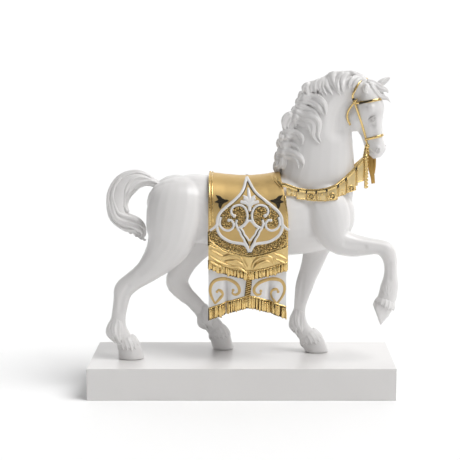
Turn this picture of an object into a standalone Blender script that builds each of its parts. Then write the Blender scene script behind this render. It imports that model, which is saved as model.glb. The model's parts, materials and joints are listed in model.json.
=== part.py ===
# Porcelain parade horse on a white plinth: one cast figure that steps out with its off fore
# raised, dressed in a fringed saddle cloth, broad reins and a bridle, above a plain block.
# Blender 4.5, metres, +Z up, +X to the front of the horse, origin under the plinth's middle.
import math

import bmesh
import bpy
import numpy as np
from mathutils import Vector
from mathutils.bvhtree import BVHTree

# Driving dimensions, in metres.
PLINTH_LENGTH = 0.475
PLINTH_DEPTH = 0.180
PLINTH_HEIGHT = 0.050
PLINTH_EDGE = 0.0008
FIGURE_HEIGHT = 0.453      # crest of the mane above the top of the plinth
FIGURE_OFFSET = 0.010      # the horse's middle plane behind the plinth's centre line
SOLE_GAP = 0.0003          # the hooves stand this far clear of the plinth
FIGURE_TRIANGLES = 9600

# The figure is a free form. Its pose and carving are written in millimetres of a figure that is
# MASTER_HEIGHT tall, and UNIT turns them into metres at the height that is asked for.
MASTER_HEIGHT = 453.0
UNIT = FIGURE_HEIGHT / MASTER_HEIGHT

# The saddle cloth, the bridle straps and the reins, as shares of the master figure.
CLOTH_REAR = -52.0
CLOTH_FRONT = 70.0
CLOTH_THICKNESS = 3.0
STRAP_WIDTH = 3.4
STRAP_THICKNESS = 1.6
REIN_THICKNESS = 3.2

CORE_VOXEL = 2.0
SKIN_VOXEL = 1.3

GLAZE = (0.86, 0.855, 0.845, 1.0)
LACQUER = (0.84, 0.835, 0.83, 1.0)


def clear_scene():
    for obj in list(bpy.data.objects):
        bpy.data.objects.remove(obj)


def finish_of(name, colour, roughness, metallic=0.0):
    material = bpy.data.materials.new(name)
    material.use_nodes = True
    shader = material.node_tree.nodes["Principled BSDF"]
    shader.inputs["Base Color"].default_value = colour
    shader.inputs["Roughness"].default_value = roughness
    shader.inputs["Metallic"].default_value = metallic
    return material


def smooth_rows(rows, steps):
    """Rows of numbers read from a Catmull-Rom curve through the given ones, steps to a span."""
    rows = np.array(rows, float)
    ends = np.vstack([2 * rows[0] - rows[1], rows, 2 * rows[-1] - rows[-2]])
    found = []
    for i in range(len(rows) - 1):
        p0, p1, p2, p3 = ends[i:i + 4]
        for k in range(steps):
            t = k / steps
            found.append(0.5 * (2 * p1 + (p2 - p0) * t + (2 * p0 - 5 * p1 + 4 * p2 - p3) * t * t
                                + (3 * p1 - p0 - 3 * p2 + p3) * t ** 3))
    found.append(rows[-1])
    return np.array(found)


def unit(v):
    v = np.array(v, float)
    return v / max(np.linalg.norm(v), 1e-9)


def round_power(value, power):
    return math.copysign(abs(value) ** (2.0 / power), value)


class Shell:
    """Closed shells in master millimetres, gathered as points and faces and made one mesh."""

    def __init__(self):
        self.points = []
        self.faces = []

    def rings(self, rings):
        """Skins a run of rings, each an array of points, and closes both ends."""
        start = len(self.points)
        count = len(rings[0])
        for ring in rings:
            self.points.extend(ring)
        for i in range(len(rings) - 1):
            a, b = start + i * count, start + (i + 1) * count
            for k in range(count):
                n = (k + 1) % count
                self.faces.append((a + k, a + n, b + n, b + k))
        self.faces.append(tuple(start + k for k in range(count))[::-1])
        last = start + (len(rings) - 1) * count
        self.faces.append(tuple(last + k for k in range(count)))

    def add_mesh(self, mesh):
        start = len(self.points)
        self.points.extend(np.array(v.co) / UNIT for v in mesh.vertices)
        self.faces.extend(tuple(start + i for i in p.vertices) for p in mesh.polygons)

    def mesh(self, name):
        made = bpy.data.meshes.new(name)
        made.from_pydata([tuple(np.array(p) * UNIT) for p in self.points], [], self.faces)
        bm = bmesh.new()
        bm.from_mesh(made)
        bmesh.ops.recalc_face_normals(bm, faces=bm.faces)
        bm.to_mesh(made)
        bm.free()
        return made


def limb(shell, rows, steps=4, sides=20, side=(0, 1, 0), power=2.2, along=None):
    """A tube through rows of (x, y, z, half depth, half width). The depth lies in the plane of the
    bend and the width along side. along fixes the direction that every ring faces."""
    rows = smooth_rows(rows, steps)
    rings = []
    for i, row in enumerate(rows):
        ahead, behind = rows[min(i + 1, len(rows) - 1)], rows[max(i - 1, 0)]
        tangent = unit(ahead[:3] - behind[:3]) if along is None else unit(along)
        width = unit(np.array(side) - np.dot(side, tangent) * tangent)
        depth = np.cross(tangent, width)
        ring = []
        for k in range(sides):
            a = 2 * math.pi * k / sides
            ring.append(row[:3] + depth * row[3] * round_power(math.cos(a), power)
                        + width * row[4] * round_power(math.sin(a), power))
        rings.append(ring)
    shell.rings(rings)


def ball(shell, centre, radii, turn=None, sides=16):
    """An ellipsoid. turn is three unit vectors that its radii lie along."""
    axes = np.eye(3) if turn is None else np.array([unit(v) for v in turn])
    rings = []
    for i in range(sides // 2 + 1):
        polar = math.pi * min(max(i / (sides // 2), 0.02), 0.98)
        ring = []
        for k in range(sides):
            a = 2 * math.pi * k / sides
            local = (math.cos(polar) * radii[0], math.sin(polar) * math.cos(a) * radii[1],
                     math.sin(polar) * math.sin(a) * radii[2])
            ring.append(np.array(centre, float) + np.array(local) @ axes)
        rings.append(ring)
    shell.rings(rings)


def lock(shell, path, radii, sides=8, flat=0.7, side=(0, 1, 0), steps=5):
    """A lock of hair: a tube that swells and tapers through (x, y, z) points. radii are its half
    widths at the points, and flat its thickness as a share of them, towards side."""
    rows = [(*p, r, r * flat) for p, r in zip(path, radii)]
    limb(shell, rows, steps, sides, side, 2.0)


# The horse's body, in master millimetres above the plinth's top.

MIDDLE = FIGURE_OFFSET / UNIT
SOLE = SOLE_GAP / UNIT


def torso_rows():
    """(x, top, bottom, half width) from the buttocks to the breast."""
    return [(-148, 246, 216, 12), (-141, 262, 200, 32), (-130, 273, 188, 43), (-115, 280, 181, 49),
            (-96, 286, 178, 53), (-73, 289, 180, 54), (-50, 286, 178, 54), (-26, 283, 173, 55),
            (0, 281, 168, 56.5), (21, 281, 164, 57), (44, 283, 161, 56), (68, 287, 160, 54),
            (91, 287, 162, 50), (115, 280, 166, 47), (139, 269, 172, 43), (158, 262, 182, 37),
            (170, 252, 196, 28), (177, 238, 212, 14)]


def torso(shell):
    rows = [(x, MIDDLE, (top + bottom) / 2, (top - bottom) / 2, width)
            for x, top, bottom, width in torso_rows()]
    limb(shell, rows, 3, 28, along=(1, 0, 0), power=2.25)


def neck(shell):
    limb(shell, [(112, 10, 222, 58, 42), (114, 10, 250, 60, 41), (119, 10, 286, 58, 37),
                 (122, 9, 319, 54, 33), (126, 8, 349, 48, 30), (132, 7, 374, 41, 28),
                 (139, 5, 393, 35, 26), (151, 3, 407, 28, 24), (168, 1, 418, 24, 22),
                 (182, 0, 421, 20, 19), (190, 0, 420, 12, 12)], 3, 24, power=2.15)


# The head is built square to its own axes and turned a little towards the near side.
HEAD_POLL = np.array((184.0, 1.0, 428.0))
HEAD_TURN = math.radians(31)
HEAD_DOWN = unit((0.25, -0.02, -0.97))
FORWARD = unit(np.cross((0, -1, 0), HEAD_DOWN))
NEAR = np.cross(HEAD_DOWN, FORWARD)
HEAD_FRONT = math.cos(HEAD_TURN) * FORWARD + math.sin(HEAD_TURN) * NEAR
HEAD_RIGHT = math.cos(HEAD_TURN) * NEAR - math.sin(HEAD_TURN) * FORWARD


def on_head(down, front, right):
    return HEAD_POLL + down * HEAD_DOWN + front * HEAD_FRONT + right * HEAD_RIGHT


def head_rows():
    """(down the face, front, back, half width) from behind the poll to the lips."""
    return [(-10, 8, -16, 10), (0, 20, -24, 16), (12, 26, -30, 19.5), (24, 28, -33, 21.5),
            (34, 29, -34, 21.5), (44, 28.5, -34, 20.5), (54, 23.5, -33, 18), (62, 20.5, -28, 16),
            (69, 18.5, -22.5, 14), (77, 16.5, -19, 12.6), (88, 14.5, -17.5, 12),
            (98, 15, -17, 12.8), (105, 13.5, -16.5, 12.8), (111, 9.5, -14, 11.5),
            (116, 3, -9.5, 7.5)]


def head(shell):
    rows = []
    for down, front, back, width in head_rows():
        centre = on_head(down, (front + back) / 2, 0)
        rows.append((*centre, (front - back) / 2, width))
    limb(shell, rows, 3, 24, side=tuple(HEAD_RIGHT), along=HEAD_DOWN, power=2.35)
    turn = (HEAD_DOWN, HEAD_FRONT, HEAD_RIGHT)
    for hand in (-1, 1):
        ball(shell, on_head(44, -16, 11 * hand), (23, 17, 9.5), turn)      # cheek
        ball(shell, on_head(37, 15, 15.5 * hand), (8, 8, 6.5), turn)       # brow
        ball(shell, on_head(70, 7, 8 * hand), (22, 5, 4), turn)            # ridge below the eye
        ball(shell, on_head(102, 6.5, 9.5 * hand), (8, 6, 4.5), turn)        # nostril
    ball(shell, on_head(111, -8, 0), (6, 6, 7), turn)                      # lower lip


def near_hind(shell):
    limb(shell, [(-97, -8, 284, 16, 5), (-97, -13, 276, 28, 13), (-97, -18, 267, 37, 21),
                 (-98, -21.5, 256, 43, 27), (-102, -25, 232, 46, 30), (-107, -27, 206, 42, 29),
                 (-113, -27, 184, 35.5, 26), (-128, -26, 161, 27, 21), (-150, -24, 138.5, 18.5, 15),
                 (-170, -23, 124, 15.5, 12.5), (-184.5, -22.5, 111, 15.5, 11.5),
                 (-188.5, -22, 96.5, 12.8, 10), (-191.5, -22, 81, 11.6, 8.8),
                 (-193.5, -22, 69, 11.4, 9), (-194.5, -22, 57, 12, 10), (-194, -22, 45, 14, 12),
                 (-187, -21.5, 32, 13.5, 12), (-180, -21, 22, 14.5, 13)], 4, 20)
    hoof(shell, (-178, -21, 21), (-174.5, -20, SOLE), 17.5, 20.5, 15, 17)


def far_hind(shell):
    limb(shell, [(-90, 26, 283, 16, 5), (-89, 31, 275, 28, 13), (-88, 36, 266, 37, 21),
                 (-88, 40, 256, 42, 27), (-82, 44, 226, 44, 30), (-70, 46, 200, 38, 28),
                 (-66, 46, 182, 30, 24), (-84, 45, 152.5, 20, 17), (-97, 45, 131.5, 17, 14),
                 (-105.5, 45, 110, 18.5, 12), (-92, 45, 90, 14, 10.5), (-81.5, 45, 80.5, 12.4, 9.2),
                 (-68, 45, 65, 12, 9.2), (-57, 45, 50.5, 14, 11), (-46, 45, 37, 14.5, 12),
                 (-38, 45, 25, 15, 13)], 4, 20)
    hoof(shell, (-37, 45, 24), (-31, 45, SOLE), 17, 17, 15.5, 17)


def far_fore(shell):
    limb(shell, [(133, 26, 268, 14, 5), (134, 31, 258, 26, 12), (136, 35, 246, 33, 17),
                 (131, 37, 216, 32, 20), (122, 35, 182, 25, 18),
                 (115, 31, 152.5, 18.8, 14), (108.5, 29, 133, 16, 12), (103, 27, 118, 14.8, 11.5),
                 (99, 26, 105, 14, 12), (95.5, 25, 89.5, 11.6, 9.8), (93, 25, 76, 9.8, 8.4),
                 (92, 25, 64, 9.8, 8.6), (92.5, 25, 52, 10.6, 9.8), (95, 25, 39, 13, 12),
                 (103, 25, 28, 14, 13), (111, 25, 19, 15.5, 14)], 4, 20)
    hoof(shell, (113, 25, 18), (120.5, 25, SOLE), 19, 19, 15.5, 17.5)


def near_fore(shell):
    limb(shell, [(115, -8, 283, 12, 5), (117, -14, 273, 22, 11), (121, -19, 260, 30, 16),
                 (132, -25, 234, 34, 20), (140, -29, 208, 30, 21),
                 (150, -32, 190, 22, 19), (170, -34, 183, 18.6, 15), (186.5, -35, 181.5, 15.5, 13),
                 (199, -36, 181, 13.2, 12), (212, -36, 180, 11.8, 11.5), (224, -37, 174.5, 13, 12),
                 (230, -37, 160, 11.2, 10.5), (231, -37, 146, 10, 9), (231, -37, 133, 11, 9.4),
                 (229.8, -37, 119.5, 14, 12), (227.5, -37, 106, 14.5, 12.5),
                 (224, -37, 94, 14.5, 13)], 4, 20)
    hoof(shell, (222.5, -37, 88), (210, -37, 73.5), 16, 18.5, 14, 16, (-0.94, 0, -0.34))


def hoof(shell, top, sole, top_length, sole_length, top_width, sole_width, facing=(0, 0, -1)):
    """A hoof: a block that widens from its coronet to a flat sole. facing is the sole's normal."""
    top, sole, facing = np.array(top, float), np.array(sole, float), unit(facing)
    rings = []
    for share, flare in ((-0.45, 0.8), (0.0, 1.0), (0.35, 1.0), (0.75, 1.0), (1.0, 1.0)):
        centre = top + (sole - top) * share
        t = max(share, 0.0)
        slant = unit(facing * (0.55 + 0.45 * t) + unit(sole - top) * (0.45 - 0.45 * t))
        width = np.array((0.0, 1.0, 0.0))
        depth = np.cross(slant, width)
        ring = []
        for k in range(24):
            a = 2 * math.pi * k / 24
            length = (top_length + (sole_length - top_length) * t) * flare
            breadth = (top_width + (sole_width - top_width) * t) * flare
            ring.append(centre + depth * length * round_power(math.cos(a), 2.2)
                        + width * breadth * round_power(math.sin(a), 2.2))
        rings.append(ring)
    shell.rings(rings)


def muscles(shell):
    """The masses of breast, shoulder and haunch that the limbs grow from."""
    for hand, shift in ((-1, 0), (1, 0)):
        ball(shell, (-104, MIDDLE + 26 * hand, 246), (44, 27, 40))
        ball(shell, (122, MIDDLE + 22 * hand, 236), (42, 24, 52))
        ball(shell, (150, MIDDLE + 18 * hand, 226), (27, 19, 34))
    ball(shell, (-68, MIDDLE - 32, 222), (28, 21, 36))


def tail(shell):
    """A solid core with hair wound over it, in an S that comes round to the buttock."""
    path = [(-118, 10, 266), (-133, 10, 273), (-146, 9.5, 279), (-158, 9, 281.5), (-171, 8, 280),
            (-182, 7, 273.5), (-191, 5, 262), (-196, 4, 246), (-195, 3, 229), (-186, 1, 216),
            (-175, -1, 211), (-164, -3.5, 207.5), (-157, -6.5, 199), (-157, -8, 189)]
    half = [6, 7.5, 9.5, 12, 15.5, 17.5, 18.5, 19, 18, 17, 16.5, 13.5, 9, 4]
    limb(shell, [(*p, r, r * 0.72) for p, r in zip(path, half)], 4, 18)


def blend_zones():
    """(centre, radius) where shells meet and are worn into each other."""
    return [((-100, 10, 235), 75), ((125, 10, 225), 72), ((118, 10, 285), 52), ((170, -10, 205), 34),
            ((172, 4, 405), 34), ((-132, 10, 272), 22), ((-140, -24, 160), 36), ((-86, 45, 165), 36),
            ((0, 10, 225), 70)]


def relax(mesh, rounds, weight_of):
    """Moves each point towards the mean of its neighbours, by its own weight, without drift."""
    count = len(mesh.vertices)
    points = np.empty(count * 3)
    mesh.vertices.foreach_get("co", points)
    points = points.reshape(-1, 3)
    ends = np.empty(len(mesh.edges) * 2, int)
    mesh.edges.foreach_get("vertices", ends)
    a, b = ends[0::2], ends[1::2]
    share = np.maximum(np.bincount(ends, minlength=count), 1)[:, None]
    weight = weight_of(points / UNIT)[:, None]
    for _ in range(rounds):
        for step in (0.5, -0.46):
            total = np.zeros_like(points)
            for axis in range(3):
                total[:, axis] = (np.bincount(a, points[b, axis], count)
                                  + np.bincount(b, points[a, axis], count))
            points = points + step * weight * (total / share - points)
    mesh.vertices.foreach_set("co", points.ravel())
    mesh.update()


def fused(mesh, name, voxel, smooth):
    """One closed skin round all the shells of a mesh, by a voxel remesh, then smoothed a little."""
    obj = bpy.data.objects.new(name, mesh)
    bpy.context.scene.collection.objects.link(obj)
    remesh = obj.modifiers.new("One skin", "REMESH")
    remesh.mode = "VOXEL"
    remesh.voxel_size = voxel * UNIT
    soften = obj.modifiers.new("Soften", "SMOOTH")
    soften.iterations = smooth
    soften.factor = 0.5
    graph = bpy.context.evaluated_depsgraph_get()
    made = bpy.data.meshes.new_from_object(obj.evaluated_get(graph))
    bpy.data.objects.remove(obj)
    return made


def bare_horse():
    """The undressed body as one skin."""
    shell = Shell()
    for make in (torso, neck, head, near_hind, far_hind, far_fore, near_fore, muscles, tail):
        make(shell)
    skin = fused(shell.mesh("bare horse"), "bare horse", CORE_VOXEL, 2)
    zones = [(np.array(c, float), r) for c, r in blend_zones()]

    def weight_of(points):
        weight = np.full(len(points), 0.10)
        for centre, radius in zones:
            near = 1 - np.clip(np.linalg.norm(points - centre, axis=1) / radius, 0, 1)
            weight = np.maximum(weight, np.minimum(1, 2 * near))
        return weight

    relax(skin, 60, weight_of)
    return skin


class Surface:
    """The bare horse as something that hair and harness are laid on."""

    def __init__(self, mesh):
        points = [v.co / UNIT for v in mesh.vertices]
        self.tree = BVHTree.FromPolygons(points, [tuple(p.vertices) for p in mesh.polygons])

    def lay(self, x, z, hand, lift, rest):
        """The point over (x, z) on one flank, or at rest where the body ends. The near side of
        the figure has hand -1."""
        hit = self.tree.ray_cast(Vector((x, 400.0 * hand, z)), Vector((0, -hand, 0)))
        y = rest if hit[0] is None else hit[0].y
        return np.array((x, y + lift * hand, z))

    def round_head(self, down, angle, lift):
        """A point on the head at a height and an angle round it, from the face to the right."""
        out = math.cos(angle) * HEAD_FRONT + math.sin(angle) * HEAD_RIGHT
        axis = on_head(down, -2, 0)
        hit = self.tree.ray_cast(Vector(axis + 34 * out), Vector(-out))
        return np.array(hit[0]) + lift * out if hit[0] is not None else axis + 16 * out


def laid_lock(shell, surface, path, width, hand=-1, rest=0.0, lift=0.2, sides=8):
    """A lock through (x, z) points, laid on the flank. It swells after its root and tapers."""
    path = smooth_rows(path, 5)
    points = np.array([surface.lay(x, z, hand, lift * width, rest) for x, z in path])
    for _ in range(4):
        points[1:-1, 1] = (points[:-2, 1] + 2 * points[1:-1, 1] + points[2:, 1]) / 4
    rows = []
    for i, point in enumerate(points):
        t = i / (len(points) - 1)
        share = 0.55 + 0.45 * math.sin(math.pi * min(t * 1.6, 1) / 2) - 0.72 * max(0, t - 0.45) / 0.55
        rows.append((*point, width * share, width * share * 0.8))
    limb(shell, rows, 1, sides, power=2.0)


# Locks of the mane as it falls on the near side: (x, z) points from the crest to the tip, width.
NEAR_MANE = [
    ([(108, 430), (99, 427), (96, 421), (97, 415), (101, 411)], 4.6),
    ([(113, 432), (104, 428), (101, 421), (103, 414), (107, 410)], 4.6),
    ([(118, 434), (110, 429), (107, 422), (109, 414)], 4.4),
    ([(123, 437), (115, 430), (113, 423), (115, 417), (119, 412)], 4.2),
    ([(127, 439), (121, 431), (120, 424), (123, 417), (127, 411)], 4.2),
    ([(131, 440), (126, 434), (125, 426), (128, 418), (133, 411)], 4.2),
    ([(135, 444), (131, 435), (132, 426), (137, 418), (142, 411)], 4.6),
    ([(140, 447), (136, 441), (137, 433), (141, 425), (147, 415)], 4.6),
    ([(149, 449.5), (142, 446), (141, 437), (144, 427), (149, 417), (152, 410)], 5.2),
    ([(178, 446), (165, 448), (155, 445), (150, 436), (148, 427), (150, 418), (155, 410)], 5.4),
    ([(182, 443), (169, 446), (161, 442), (156, 434), (155, 426), (157, 418), (161, 411)], 5),
    ([(187, 440), (176, 439), (168, 435), (165, 428), (167, 420)], 4.8),
    ([(191, 437), (181, 436), (174, 431), (171, 423), (172, 414)], 4.4),
    ([(92, 409), (100, 410), (110, 410), (119, 407), (126, 401), (129, 393), (130, 385), (133, 378)], 5.4),
    ([(89, 404), (99, 404), (109, 402), (117, 397), (122, 390), (126, 383), (130, 377)], 5),
    ([(85, 397), (93, 395), (102, 391), (111, 388), (117, 383), (122, 375)], 5),
    ([(82, 391), (88, 386), (97, 382), (107, 381), (115, 377), (119, 370), (119, 361), (118, 352),
      (122, 344), (131, 339)], 5.6),
    ([(80, 384), (87, 378), (96, 375), (104, 374), (110, 369), (111, 361), (110, 353), (114, 345),
      (120, 340), (127, 336)], 5),
    ([(84, 374), (94, 370), (102, 367), (106, 361), (108, 352), (112, 345)], 4.4),
    ([(80, 384), (72, 382), (67, 377), (65, 371), (66, 363), (71, 358), (77, 358)], 4.6),
    ([(79, 383), (76, 376), (73, 369), (72, 363), (76, 359)], 3.6),
    ([(81, 381), (83, 373), (84, 365), (86, 358)], 3.6),
    ([(64, 350), (70, 355), (80, 356), (89, 353), (94, 347), (94, 340), (92, 336)], 4.8),
    ([(66, 345), (73, 350), (81, 350), (87, 346), (89, 340)], 4),
    ([(65, 352), (62, 345), (64, 338), (70, 334)], 4.2),
    ([(62, 337), (68, 336), (77, 337), (86, 333), (90, 326)], 4.4),
    ([(61, 331), (69, 330), (78, 329), (85, 325)], 3.8),
    ([(60, 326), (67, 324), (78, 324), (88, 320), (94, 313), (95, 305), (92, 296)], 5.2),
    ([(61, 319), (70, 319), (80, 317), (86, 311), (88, 304), (86, 298)], 4.2),
    ([(60, 318), (57, 311), (55, 304), (50, 299)], 4.4),
    ([(64, 316), (63, 309), (60, 302), (56, 297)], 4.2),
    ([(69, 314), (69, 307), (66, 300), (63, 296)], 4),
]


def far_mane():
    """Plainer locks down the far side of the crest: it is only met from behind."""
    found = []
    for i in range(11):
        t = i / 10
        x, z = 66 + 98 * t ** 1.25, 330 + 108 * t ** 0.8
        length = 34 - 8 * t
        found.append(([(x + 2, z + 6), (x + 3, z - 0.3 * length), (x + 12, z - 0.65 * length),
                       (x + 11, z - length)], 7))
    return found


def mane(shell, surface):
    for path, width in NEAR_MANE:
        laid_lock(shell, surface, path, width, -1, MIDDLE - 12, 0.0)
    for path, width in far_mane():
        laid_lock(shell, surface, path, width, 1, MIDDLE - 4)
    crest = [(66, 318), (70, 344), (79, 364), (90, 384), (101, 402), (110, 419), (124, 430), (140, 441),
             (157, 444), (177, 440), (190, 432)]
    rows = [(x, MIDDLE - 6 * t, z, 10 - 2 * t, 16 - 3 * t) for (x, z), t in
            zip(crest, np.linspace(0, 1, len(crest)))]
    limb(shell, rows, 3, 14)


def forelock(shell, surface):
    for path, width in (([(193, 434), (203, 431), (213, 424), (222, 421), (227, 415)], 5),
                        ([(199, 428), (206, 418), (213, 411), (224, 408), (231, 400)], 4.5),
                        ([(196, 431), (207, 424), (216, 415), (222, 412)], 4)):
        laid_lock(shell, surface, path, width, -1, -14, 0.4)


def ears(shell):
    """Two pricked ears, each a cone with a hollow towards its tip's facing side."""
    for root, tip, out in (((8, 22, -11.5), (0.3, 40, -29.3), HEAD_FRONT - 0.6 * HEAD_RIGHT),
                           ((8, 14, 12), (1, 26, 32), HEAD_FRONT + 0.2 * HEAD_RIGHT)):
        root, tip = on_head(*root), on_head(*tip)
        axis = unit(tip - root)
        across = unit(np.cross(axis, out))
        facing = np.cross(across, axis)
        rings = []
        for share, width in ((-0.3, 5), (0.0, 6.5), (0.25, 7.6), (0.5, 7), (0.75, 4.8), (0.93, 1.8)):
            ring = []
            for k in range(16):
                a = 2 * math.pi * k / 16
                dent = 0.75 * max(0, math.cos(a)) ** 3 if share >= 0.25 else 0.25 * max(0, math.cos(a))
                ring.append(root + (tip - root) * share + across * width * math.sin(a)
                            + facing * width * 0.8 * (math.cos(a) - 1.3 * dent))
            rings.append(ring)
        shell.rings(rings)


def tail_hair(shell):
    """Strands that run round the tail's core from the dock to the curl at its end."""
    path = smooth_rows([(-133, 10, 273, 7.5), (-146, 9.5, 279, 9.5), (-158, 9, 281.5, 12.5),
                        (-171, 8, 280, 15.5), (-182, 7, 273.5, 17.5), (-191, 5, 262, 18.5),
                        (-196, 4, 246, 19), (-195, 3, 229, 18), (-186, 1, 216, 17),
                        (-175, -1, 211, 16.5), (-164, -3.5, 207.5, 13.5), (-157, -6.5, 199, 9),
                        (-157, -8, 188, 4)], 3)
    for k in range(8):
        first = 2 * math.pi * k / 8
        rows = []
        for i, (x, y, z, r) in enumerate(path):
            t = i / (len(path) - 1)
            ahead = unit(path[min(i + 1, len(path) - 1)][:3] - path[max(i - 1, 0)][:3])
            depth = np.cross(ahead, (0, 1, 0))
            a = first + 1.1 * t + 0.35 * math.sin(7 * t + 2.1 * k)
            centre = np.array((x, y, z)) + (depth * math.cos(a) + np.array((0, 1, 0))
                                            * 0.78 * math.sin(a)) * r * 0.72
            rows.append((*centre, 1.2 + 0.36 * r, 1.2 + 0.36 * r))
        limb(shell, rows, 1, 8, power=2.0)


def feathers(shell):
    """Tufts that curl round the back of each fetlock, and short ones over each coronet."""
    legs = (((-196, -22, 63), (-1, 0, 0.1), (0.22, 0, -1), 11, 42, 1.0),
            ((-63, 45, 68), (-0.9, 0, -0.45), (0.5, 0, -0.9), 11, 38, 0.9),
            ((91, 25, 67), (-1, 0, 0), (0.2, 0, -1), 10, 42, 0.85),
            ((231, -37, 130), (-1, 0, 0.1), (-0.05, 0, -1), 10, 34, 0.5))
    for centre, back, down, reach, length, fullness in legs:
        centre, back, down = np.array(centre, float), unit(back), unit(down)
        for k in range(-3, 4):
            a = k * 0.55
            out = unit(math.cos(a) * back + math.sin(a) * np.array((0, 1, 0)))
            start = centre + out * reach * 0.7
            long = length * (0.86 if k % 2 else 1.0)
            full = fullness * (0.55 + 0.45 * math.cos(a))
            rows = []
            for t, off, width in ((-0.1, -3, 3.4), (0.12, 2, 4.6), (0.35, 9, 5.2), (0.6, 13, 4.8),
                                  (0.8, 10.5, 3.8), (1.0, 4.5, 1.4)):
                point = start + down * long * t + out * off * full
                rows.append((*point, width, width * 0.9))
            limb(shell, rows, 4, 8, side=tuple(np.cross(out, down)), power=2.0)
    coronets = (((-181, -21, 30), (0.25, 0, -1), 14.5, 13.5, 17),
                ((-40, 45, 32), (0.3, 0, -1), 14.5, 14, 16),
                ((107, 25, 28), (0.45, 0, -1), 15.5, 14, 17),
                ((225, -37, 98), (-0.3, 0, -1), 13.5, 13, 14))
    for centre, down, ahead, aside, length in coronets:
        centre, down = np.array(centre, float), unit(down)
        front = unit(np.cross(down, (0, 1, 0)))
        for k in range(9):
            a = 2 * math.pi * k / 9
            out = unit(math.cos(a) * front + math.sin(a) * np.array((0, 1, 0)))
            start = centre + out * (math.hypot(ahead * math.cos(a), aside * math.sin(a)) - 3)
            rows = [(*(start + down * length * t + out * off), width, width * 1.2)
                    for t, off, width in ((-0.3, -1.5, 2.6), (0.1, 1, 3.6), (0.6, 3, 3.2), (1.0, 3, 1.2))]
            limb(shell, rows, 3, 8, side=tuple(np.cross(out, down)), power=2.0)


def torso_at(x):
    rows = np.array(torso_rows())
    return [float(np.interp(x, rows[:, 0], rows[:, i])) for i in (1, 2, 3)]


def cloth_path(x, hem, offset, count=16):
    """(y, z) down the near side from the back to a hem, this far outside the body."""
    top, bottom, width = torso_at(x)
    middle, half = (top + bottom) / 2, (top - bottom) / 2 + offset
    found = []
    for i in range(count):
        a = math.pi / 2 * i / (count - 1)
        found.append((round_power(math.sin(a), 2.25) * (width + offset),
                      middle + half * round_power(math.cos(a), 2.25)))
    drop = middle - hem
    for i in range(1, 9):
        found.append((width + offset, middle - drop * i / 8))
    return found


def cloth_y(x, z, offset):
    """How far the cloth's face lies from the middle plane at a height."""
    top, bottom, width = torso_at(x)
    middle, half = (top + bottom) / 2, (top - bottom) / 2 + offset
    if z <= middle:
        return width + offset
    rise = min((z - middle) / half, 0.999)
    return (width + offset) * (1 - rise ** 2.25) ** (1 / 2.25)


def drape(shell, hem_at, offset, rear, front_at):
    """A layer of the cloth over the back, to a hem on each side, and closed round its edge."""
    columns = 24
    faces = []
    for layer in (offset, offset - CLOTH_THICKNESS):
        grid = []
        for i in range(columns + 1):
            share = i / columns
            line = []
            for hand in (1, -1):
                x0 = rear + (CLOTH_FRONT - rear) * share
                path = cloth_path(x0, hem_at(x0), layer)
                side = []
                for k, (y, z) in enumerate(path):
                    x = rear + (front_at(z) - rear) * share
                    inner = layer < offset
                    if inner and k < 14:
                        y, z = y * 0.88, z - 5 * (1 - k / 15)
                    side.append(np.array((x, MIDDLE + y * hand, z)))
                line += side[::-1] if hand == 1 else side[1:]
            grid.append(line)
        faces.append(grid)
    outer, inner = faces
    rings = []
    for i in range(columns + 1):
        rings.append(outer[i] + inner[i][::-1])
    shell.rings(rings)


CLOTH_MIDDLE = 12.5


def spread(x):
    return abs(x - CLOTH_MIDDLE) / 60


def upper_hem(x):
    return 166 + 17 * spread(x) ** 1.5


def second_hem(x):
    return 132 + 15 * spread(x) ** 1.5


def lowest_hem(x):
    return 87 - 19 * spread(x) ** 1.2


def cloth_front(z):
    """The front edge leans: further back over the withers than down at the hems."""
    return CLOTH_FRONT - 12 * min(max((z - 240) / 55, 0), 1)


def shoulder_height(x, z, offset):
    """Heights are read against the flat of the flap; over its shoulder they sink as it recedes."""
    if z <= 240:
        return z
    top, bottom, width = torso_at(x)
    highest = (top + bottom) / 2 + ((top - bottom) / 2 + offset) * 0.999
    low = z
    for _ in range(40):
        low += 0.35 * (z - 0.115 * (62 - cloth_y(x, low, offset)) - low)
    return min(low, highest)


def laid_ridge(shell, path, height, width, offset, hand):
    """A raised line through (x, z) points on the cloth's face."""
    rows = []
    for x, z in smooth_rows(path, 4):
        z = shoulder_height(x, z, offset)
        y = MIDDLE + hand * (cloth_y(x, z, offset) + 0.1)
        rows.append((x, y, z, width, height))
    limb(shell, rows, 1, 8, power=2.0)


# One half of the raised pattern on the upper panel: (out from the cloth's middle, height) points
# and half widths. The other half is its mirror image.
PATTERN = [
    ([(0, 291), (3.2, 283), (6.8, 274), (12.5, 265), (22, 256), (33, 247), (43, 238), (48.5, 229),
      (50, 219), (49.5, 210), (46, 202), (39.5, 196), (30, 191), (20, 189), (10, 187.5), (4.5, 183),
      (0.5, 175)], 2.4),
    ([(49.5, 219), (54, 213), (61, 208)], 2.1),
    ([(23.5, 231), (27.5, 234), (28, 240), (24, 245.5), (15, 247.5), (8, 244), (4.2, 237),
      (3.5, 229), (6, 221), (11, 215.5), (18, 212)], 1.9),
    ([(44.5, 229), (46, 218), (41, 210.5), (33, 208), (26.5, 211.5), (24.5, 218), (28, 224),
      (32.5, 224)], 1.9),
    ([(19.5, 224), (21, 218), (20, 211), (16, 202), (10, 193), (4, 184), (0.8, 177)], 1.9),
    ([(0, 272), (4, 264), (2, 255), (9, 252), (2, 247), (0, 240)], 2.2),
]


def lean(x, z):
    """The pattern's point leans towards the horse's rear."""
    return x - 4.5 * min(max((z - 255) / 36, 0), 1)


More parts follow.
